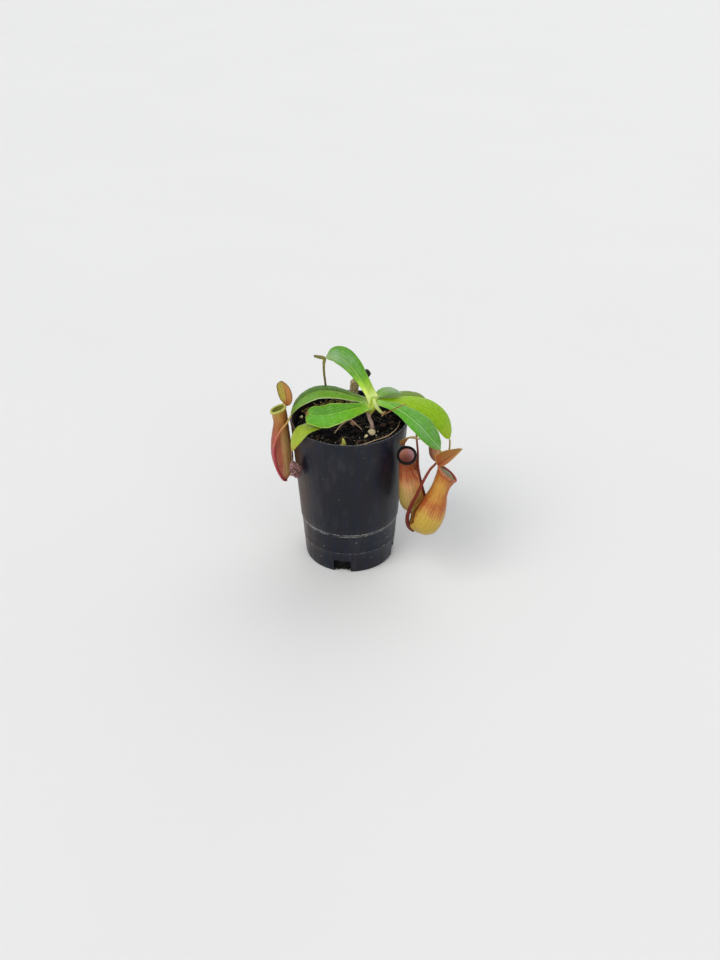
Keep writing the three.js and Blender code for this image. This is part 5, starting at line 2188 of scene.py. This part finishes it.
LEFT_RUN = ((-36.66, -5.36, 104.83), (-39.4, -8.4, 100.8), (-41.6, -9.8, 98.6), (-45.4, -10.6, 92.6),
    (-47.8, -10.2, 82.8), (-47.2, -9.8, 71.3), (-44.8, -8.3, 62.5), (-42.6, -6.4, 57.6),
    (-41.2, -4.8, 56.6))
MIDDLE_RUN = ((50.84, 21.2, 102.1), (50.9, 17, 98.6), (48.2, 9, 96.8), (45.8, 0, 96.6), (43.6, -8.5, 97.4),
    (42.4, -14.5, 96.6), (42.6, -18.4, 93), (43.2, -21.5, 87.2), (43.2, -26.6, 81), (44.4, -29.2, 74.5),
    (46.4, -29.2, 66), (48.3, -28.2, 58), (47.6, -27, 50), (44.6, -25.6, 44.6), (39.58, -23.51, 43.79))
RIGHT_RUN = ((57.55, -21.59, 88.71), (56, -26.6, 85.6), (53, -32.6, 85.2), (50, -37, 84.4),
    (46, -40.4, 78.4), (41.9, -42.2, 69), (38, -43, 59.7), (36.6, -43, 53.7), (36.9, -42.4, 48.2),
    (38.4, -41.2, 43.6), (40.9, -40.3, 40.9))
SMALL_RUN = ((65.65, 5.93, 80.86), (65.4, 4, 75.2), (63, 0, 69), (60, -2.6, 67.2), (57.03, -4.09, 69.93))

LEAVES = (
    Blade(
        "leaf_top", "leaf_green", TOP_LEAF, UNDER_GREEN,
        spine=((14.04, -7.84, 119.7), (11.9, -6.67, 124.83), (7.8, -5, 131.9), (2.5, -3, 139.4),
            (-3, -1.5, 144.1), (-8.3, 0, 145.2), (-14.1, 1, 142)),
        ups=((0.55, -0.7, 0.4), (0.4, -0.72, 0.55), (0.05, -0.62, 0.78), (-0.35, -0.5, 0.8)),
        widths=((0, 4.7), (0.08, 4.2), (0.16, 3.9), (0.35, 4.5), (0.55, 5.7), (0.75, 6.3), (0.9, 4.8),
            (1, 0.7)),
        camber=0.12, rib_at=-0.32, ridge=0.06, tuck=3.0,
    ),
    Blade(
        "leaf_left", "leaf_green", LEFT_LEAF, UNDER_GREEN,
        spine=((12.52, -7.42, 116.18), (3.88, -4.53, 117.77), (-7.5, -1.4, 119.9), (-18.7, 0, 119.9),
            (-27.7, -1, 116.4), (-33.8, -3, 110.9), (-36.6, -5, 105.2)),
        ups=((0.1, -0.3, 0.95), (0, -0.25, 0.97), (-0.15, -0.25, 0.95), (-0.7, -0.35, 0.65)),
        widths=((0, 2.4), (0.15, 3.0), (0.35, 5), (0.55, 6.2), (0.75, 5.4), (0.9, 3), (1, 0.6)), camber=0.2,
        ridge=0.12, rib_at=-0.08,
    ),
    Blade(
        "leaf_front_left", "leaf_green", FRONT_LEAF, UNDER_GREEN,
        spine=((12.53, -10.19, 113.89), (3.85, -12.8, 113.7), (-5.5, -14.6, 112), (-14.6, -15.4, 110.4),
            (-21.5, -15.2, 110.2), (-26.2, -14.6, 111.4)),
        ups=((0.15, -0.55, 0.82), (0.05, -0.52, 0.85), (-0.1, -0.5, 0.86), (0.1, -0.5, 0.86)),
        widths=((0, 2.4), (0.15, 3.5), (0.35, 6), (0.55, 7.6), (0.75, 8.1), (0.9, 7.4), (1, 4.6)),
        camber=0.06, ripple=0.8, waves=2.2, round_tip=0.05, ridge=0.24, groove=-0.12, waver=1.0, quilt=0.42,
    ),
    Blade(
        "leaf_over_rim", "leaf_lime", RIM_LEAF, UNDER_LIME,
        spine=((10.4, -6.6, 110.3), (0.03, -8.5, 107.21), (-12, -12.5, 104.4), (-21.5, -17.5, 104.5),
            (-27.9, -22.1, 103.7), (-33, -24.9, 98.2), (-35.6, -25.4, 90.6)),
        ups=((0, -0.2, 1), (0, -0.2, 1), (-0.3, -0.25, 0.9), (-0.8, -0.6, 0.25)),
        widths=((0, 1.3), (0.3, 2.4), (0.5, 3.6), (0.68, 4.9), (0.84, 4.5), (0.94, 2.3), (1, 0.6)),
        plus=1.3, camber=0.1, ridge=0.14, waver=0.4,
    ),
    Blade(
        "leaf_right_front", "leaf_green", RIGHT_LEAF, UNDER_GREEN,
        spine=((16.71, -10.04, 116.24), (25.37, -11.38, 114.88), (32.9, -14, 112.1), (43.5, -18, 104.6),
            (51.1, -20, 96.4), (57.2, -21, 89.4)),
        ups=((0.1, -0.3, 0.95), (0.22, -0.38, 0.9), (0.4, -0.55, 0.74), (0.5, -0.65, 0.56)),
        widths=((0, 2.4), (0.12, 2.9), (0.3, 5), (0.5, 7.9), (0.7, 8.9), (0.85, 7.3), (0.95, 4.0),
            (1, 0.5)),
        plus=0.62, minus=1.18, camber=0.16, ridge=0.1, groove=-0.12,
    ),
    Blade(
        "leaf_right_back", "leaf_lime", BRIGHT_LEAF, UNDER_LIME,
        spine=((17.02, -7.48, 114.21), (20.9, -4.67, 114.7), (32.3, 1, 111.2), (43.9, 4, 106.8),
            (54.5, 6, 100), (61.9, 6, 90.7), (65.5, 6, 81.4)),
        ups=((0.1, -0.3, 0.95), (0.15, -0.34, 0.92), (0.4, -0.45, 0.8), (0.72, -0.58, 0.36)),
        widths=((0, 2.0), (0.15, 2.7), (0.35, 5.4), (0.55, 7.8), (0.7, 8.4), (0.85, 7.2), (0.95, 4.4),
            (1, 0.6)),
        plus=0.82, minus=1.16, camber=0.12,
    ),
    Blade(
        "leaf_back_small", "leaf_green", SMALL_LEAF, UNDER_GREEN,
        spine=((15.9, -6.57, 118.66), (21.86, -1.15, 119.95), (27.8, 4, 118.4), (33, 8, 114.3)),
        ups=((0, -0.2, 1), (0.1, -0.2, 1), (0.5, 0.1, 0.9)),
        widths=((0, 1.2), (0.25, 2.9), (0.55, 4), (0.85, 2.8), (1, 0.6)), camber=0.15,
    ),
    Blade(
        "leaf_back_olive", "leaf_lime", OLIVE_LEAF, UNDER_LIME,
        spine=((14.59, -5.13, 112.78), (24.14, 4.83, 112.83), (32.8, 13, 110.4), (40.8, 18, 108.2),
            (46.9, 20, 105.8), (50.2, 21, 102.7)),
        ups=((0, -0.1, 1), (0.1, -0.2, 1), (0.6, 0.1, 0.8)),
        widths=((0, 1.1), (0.2, 2.2), (0.45, 3.4), (0.7, 4.2), (0.9, 2.8), (1, 0.6)), camber=0.15,
    ),
)

STALKS = (
    Stalk(
        "stem", "woody", WOOD,
        path=((14.54, -6.47, 96.53), (14.2, -6.7, 100.4), (12.7, -7.3, 104.6), (12.3, -7.9, 108.6)),
        radii=((0, 1.5), (0.4, 1.1), (0.75, 1.2), (1, 1.7)), lumps=0.16, lump_scale=0.5, sides=32,
    ),
    Stalk(
        "crown", "leaf_lime", CROWN_LOOK, path=((12.6, -8, 109.19), (14.2, -8, 113.6), (15.5, -8.3, 119.4)),
        radii=((0, 1.7), (0.4, 2.2), (0.8, 1.7), (1, 1)), swell=1.5, lobes=5, lobe_depth=0.2, sides=60,
        lumps=0.06,
    ),
    Stalk(
        "leaf_young", "leaf_lime", YOUNG_LOOK,
        path=((15.46, -10.62, 119.56), (16.65, -13, 116.35), (19.2, -14.2, 113), (22, -14.8, 110.9)),
        radii=((0, 1), (0.4, 1.2), (0.8, 0.95), (1, 0.7)), swell=0.82, knob=1.3, groove=0.4, sides=40,
        squash=0.15,
    ),
    Stalk(
        "tendril_young", "tendril", YOUNG_TENDRIL,
        path=((22.54, -15.37, 111.55), (27.1, -17.6, 115.6), (31.2, -18.2, 118.3), (35.2, -18.2, 119.9)),
        radii=((0, 0.6), (0.5, 0.5), (1, 0.45)), swell=0.62,
    ),
    Stalk(
        "tendril_dry_top", "dry_tissue", OLIVE_STALK,
        path=((-21.4, 1, 143.2), (-18.2, 1.1, 142.4), (-15.2, 1.24, 141.3), (-15.5, 2.2, 137.5),
            (-15.5, 5, 129), (-14.9, 9, 119), (-14.8, 12.4, 107), (-14.97, 13.22, 94.94)),
        radii=((0, 0.8), (0.08, 1.05), (0.14, 1.05), (0.25, 0.78), (1, 0.65)), lumps=0.15, rows=200,
    ),
    Stalk(
        "tendril_left", "tendril", LEFT_TENDRIL, path=LEFT_RUN,
        radii=((0, 0.55), (0.2, 0.7), (0.5, 0.95), (0.9, 0.9), (1, 0.7)), rows=200,
    ),
    Stalk(
        "tendril_middle", "tendril", MIDDLE_TENDRIL, path=MIDDLE_RUN,
        radii=((0, 0.5), (0.4, 0.55), (0.7, 0.75), (0.95, 0.8), (1, 0.6)), swell=1.15, rows=240,
    ),
    Stalk(
        "tendril_right", "tendril", RIGHT_TENDRIL, path=RIGHT_RUN,
        radii=((0, 0.6), (0.25, 0.8), (0.6, 1.05), (0.9, 1.25), (1, 0.9)), rows=240, sides=24,
    ),
    Stalk(
        "tendril_small", "tendril", SMALL_TENDRIL, path=SMALL_RUN, radii=((0, 0.55), (0.6, 0.6), (1, 0.5)),
    ),
    Stalk(
        "dried_pitcher_left", "dry_tissue", HUSK,
        path=((-35.72, -25.39, 90.12), (-35.5, -23.6, 84), (-35, -22, 79.4), (-34.2, -21.4, 76),
            (-33.6, -21.2, 72.4), (-32.6, -21, 69)),
        radii=((0, 0.36), (0.35, 0.45), (0.5, 1.9), (0.7, 3.2), (0.86, 2.8), (1, 1.2)), lumps=0.34,
        lump_scale=0.4, creases=0.5, rows=170, sides=84,
    ),
    Stalk(
        "old_pitcher_body", "dry_tissue", TAN_HUSK,
        path=((2.46, 24.47, 95.16), (2.6, 24.6, 103), (3.2, 24.2, 110), (3.2, 24, 116)),
        radii=((0, 1), (0.3, 2), (0.65, 2.8), (0.9, 2.5), (1, 1.2)), lobes=10, lobe_depth=0.09, lumps=0.14,
        creases=0.1, sides=80,
    ),
    Stalk(
        "old_pitcher_hood", "dry_tissue", BLACK_HUSK,
        path=((4.23, 23.89, 116.66), (7.65, 23.95, 119.82), (11, 24, 121.8), (12.6, 24, 120),
            (12.2, 24, 117.6)),
        radii=((0, 0.6), (0.5, 0.9), (0.8, 1.3), (1, 0.7)), lumps=0.2, creases=0.2, sides=36,
    ),
    Stalk(
        "sprout", "leaf_lime", SPROUT_LOOK,
        path=((-3.4, -30.2, 95.34), (-3, -29.6, 98.34), (-3.5, -29, 101.74)),
        radii=((0, 1.2), (0.5, 1.1), (1, 0.5)), groove=0.35, sides=30, squash=0.25, lumps=0.12,
    ),
    Stalk(
        "root_front", "woody", ROOT,
        path=((1.5, -29.6, 96.9), (8.2, -27.4, 96.6), (16.2, -22.6, 96.8), (24.6, -16.6, 96.8),
            (30.6, -7, 97.2), (32.6, 1, 97.4)),
        radii=((0, 0.25), (0.5, 0.34), (1, 0.25)), lumps=0.2, lump_scale=0.5,
    ),
    Stalk(
        "root_centre", "woody", ROOT,
        path=((-9, -12, 96.09), (-5, -3, 96.79), (0.5, 3.6, 96.79), (4.4, -2, 96.69), (8.6, -9.6, 96.79)),
        radii=((0, 0.4), (0.5, 0.5), (1, 0.4)), lumps=0.2, lump_scale=0.5,
    ),
)

PITCHERS = (
    Pitcher(
        Cup(
            "left", LEFT_SKIN, LEFT_THROAT, LEFT_RUN, (0.0, 0.52, 4.2),
            axis=((-41.2, -3.9, 56.6), (-41.4, -3.4, 60.1), (-42.7, -3.2, 68.3), (-43.5, -3, 77.8),
                (-43.8, -2.6, 89), (-43.5, -2.2, 99.9), (-44.4, -3.2, 107.6)),
            radii=((0, 0), (0.07, 3.0), (0.16, 5.2), (0.3, 6.8), (0.45, 6.9), (0.65, 5.7), (0.82, 4.7),
                (1, 4.9)),
            mouth=(-0.36, 0.02, 0.93), hinge=(0.9, 0.3, 0.2), inner_from=0.16,
        ),
        "lip_lime", LIME_LIP, 0.7,
        lid(
            "left", LEFT_LID,
            spine=((-39.3, -1.92, 110.9), (-39.1, -2.3, 115.7), (-39.8, -3.2, 122), (-41.6, -5, 129)),
            ups=((0.35, 0.85, -0.05), (0.28, 0.9, 0), (0.3, 0.9, 0.2)),
            widths=((0, 1.6), (0.2, 3.8), (0.45, 4.7), (0.75, 4.5), (0.92, 3.3), (1, 1.9)), camber=0.3,
        ),
    ),
    Pitcher(
        Cup(
            "middle", MIDDLE_SKIN, MIDDLE_THROAT, MIDDLE_RUN, (0.08, 0.84, 4.6),
            axis=((40.6, -24, 45.4), (40.1, -24, 49.7), (39.9, -24, 56.3), (39.2, -24, 65.2),
                (37.8, -24.2, 73.4), (36.4, -25.2, 80.8), (36, -27.6, 88.6)),
            radii=((0, 0), (0.05, 4.2), (0.13, 6.9), (0.27, 8.1), (0.45, 7.7), (0.62, 6.6), (0.78, 5.3),
                (0.9, 5), (1, 5.5)),
            mouth=(-0.08, -0.62, 0.78), hinge=(-0.4, 0.7, 0.6), inner_from=0.08,
        ),
        "lip_black", BLACK_LIP, 0.85,
        lid(
            "middle", MIDDLE_LID,
            spine=((33.75, -23.42, 94.49), (33.66, -25.13, 98.56), (38.8, -27, 101.9), (43.7, -28, 100.8)),
            ups=((-0.35, 0.4, 0.85), (-0.1, 0.42, 0.9), (0.2, 0.4, 0.9)),
            widths=((0, 1.1), (0.3, 3.2), (0.6, 4.6), (0.85, 3.6), (1, 1.2)), camber=0.12,
        ),
    ),
    Pitcher(
        Cup(
            "right", RIGHT_SKIN, RIGHT_THROAT, RIGHT_RUN, (-0.1, 0.06, 8.5),
            axis=((41.8, -40, 40.8), (44.9, -39.6, 43.8), (48.1, -39.3, 48.6), (51, -39, 54.6),
                (53.5, -38.8, 61.2), (56, -38.2, 69.2), (58.5, -37.6, 76.4), (60.3, -36.8, 80.8)),
            radii=((0, 0), (0.035, 3.8), (0.1, 7.4), (0.18, 9.5), (0.28, 10.2), (0.4, 9.6), (0.54, 7.7),
                (0.7, 5.8), (0.86, 5.6), (1, 7.1)),
            mouth=(0.62, 0.1, 0.78), hinge=(-0.72, 0.33, 0.6), inner_from=0.1, turn_from=0.75,
        ),
        "lip_red", RED_LIP, 0.6,
        lid(
            "right", RIGHT_LID,
            spine=((55.2, -34.3, 86.2), (59.6, -33.9, 89.4), (64.6, -33.5, 93), (69.5, -33.2, 96.9)),
            ups=((-0.5, -0.36, 0.76), (-0.45, -0.38, 0.78), (-0.52, -0.3, 0.78)),
            widths=((0, 3.4), (0.1, 5.8), (0.25, 6.3), (0.45, 5.4), (0.68, 3.7), (0.88, 1.9), (1, 0.6)),
            plus=0.45, minus=1.3, camber=0.1,
        ),
    ),
    Pitcher(
        Cup(
            "small", SMALL_SKIN, RIGHT_THROAT, SMALL_RUN, (-0.1, 0.1, 2.4),
            axis=((56.8, -4, 70.2), (55.8, -4, 74.5), (55, -4, 79.7), (54.4, -4, 85), (53.8, -4.2, 88.8)),
            radii=((0, 0), (0.08, 1.9), (0.3, 3.6), (0.55, 3.7), (0.8, 3.1), (1, 3.3)),
            mouth=(0.1, -0.3, 0.93), hinge=(-0.6, 0.7, 0.3), inner_from=0.2,
        ),
        "lip_red", RED_LIP, 0.6,
        lid(
            "small", RIGHT_LID,
            spine=((51.18, -1.45, 91.12), (51.45, -2.68, 93.11), (54.2, -5.4, 94), (56.6, -8, 93.2)),
            ups=((-0.4, 0.5, 0.75), (0, 0.1, 1), (0.2, 0, 1)),
            widths=((0, 0.8), (0.3, 1.9), (0.6, 2.4), (0.85, 1.8), (1, 0.7)),
        ),
    ),
)


# ---- studio ---------------------------------------------------------------------------------


@dataclass
class Studio:
    """Pale floor, soft light and the camera."""

    camera_at: Point = (6.94, -562.67, 407.52)
    camera_tilt: float = 57.83
    lens: float = 37.65
    floor_half: float = 9.0
    suns: tuple[tuple[str, Point, float, float, Point], ...] = (
        ("key_sun", (-0.62, -0.55, 1.0), 1.3, 40.0, (1.0, 0.985, 0.955)),
        ("front_sun", (0.35, -1.0, 0.55), 0.5, 70.0, (0.98, 0.99, 1.0)),
        ("back_sun", (0.45, 0.95, 0.9), 0.7, 60.0, (1.0, 1.0, 1.0)),
    )
    SKY: ClassVar[tuple[tuple[float, Colour], ...]] = (
        (0.0, (0.82, 0.82, 0.83, 1.0)), (0.12, (0.70, 0.71, 0.73, 1.0)), (0.6, (0.50, 0.52, 0.55, 1.0)),
    )

    def build(self) -> None:
        """Set the stage."""
        self._floor()
        self._sky()
        for sun in self.suns:
            self._sun(*sun)
        self._camera()

    def _floor(self) -> None:
        """The floor that the pot stands on."""
        mesh = bpy.data.meshes.new("floor")
        half = self.floor_half
        corners = [(-half, -half, 0), (half, -half, 0), (half, half, 0), (-half, half, 0)]
        mesh.from_pydata(corners, [], [(0, 1, 2, 3)])
        mesh.materials.append(FloorFinish().make())
        put("floor", mesh)

    @staticmethod
    def _sky() -> None:
        """Soft light from all round, palest at the horizon."""
        world = bpy.data.worlds.new("studio_sky")
        world.use_nodes = True
        tree = world.node_tree
        kinds = ("ShaderNodeTexCoord", "ShaderNodeSeparateXYZ", "ShaderNodeValToRGB")
        spot, split, ramp = (tree.nodes.new(kind) for kind in kinds)
        Graph.fill_ramp(ramp.color_ramp, Studio.SKY)
        tree.links.new(spot.outputs["Generated"], split.inputs[0])
        tree.links.new(split.outputs["Z"], ramp.inputs[0])
        tree.links.new(ramp.outputs[0], tree.nodes["Background"].inputs["Color"])
        bpy.context.scene.world = world

    @staticmethod
    def _sun(name: str, towards: Point, power: float, spread_angle: float, colour: Point) -> None:
        """One wide soft lamp, the same strength all over the floor.

        Args:
            name: The lamp's name.
            towards: Where it stands.
            power: Its strength.
            spread_angle: Its width in degrees.
            colour: Its colour.
        """
        data = bpy.data.lights.new(name, "SUN")
        data.energy, data.angle, data.color = power, math.radians(spread_angle), colour
        put(name, data).rotation_euler = Vector(towards).to_track_quat("Z", "Y").to_euler()

    def _camera(self) -> None:
        """The camera, at the photograph's viewing angle."""
        data = bpy.data.cameras.new("camera")
        data.lens, data.sensor_width, data.sensor_fit = self.lens, 36.0, "AUTO"
        data.clip_start, data.clip_end = 0.01, 50.0
        camera = put("camera", data)
        camera.location = Vector(self.camera_at) * MM
        camera.rotation_euler = (math.radians(self.camera_tilt), 0.0, 0.0)
        bpy.context.scene.camera = camera


def main() -> None:
    """Build the potted pitcher plant, piece by piece."""
    logging.basicConfig(level=logging.INFO, format="%(message)s")
    bpy.context.scene.view_settings.view_transform = "Standard"
    Studio().build()
    pot = NurseryPot()
    pot.build()
    SoilBed(pot).build()
    for part in (*STALKS, *LEAVES, *PITCHERS):
        part.build()


if __name__ == "__main__":
    main()
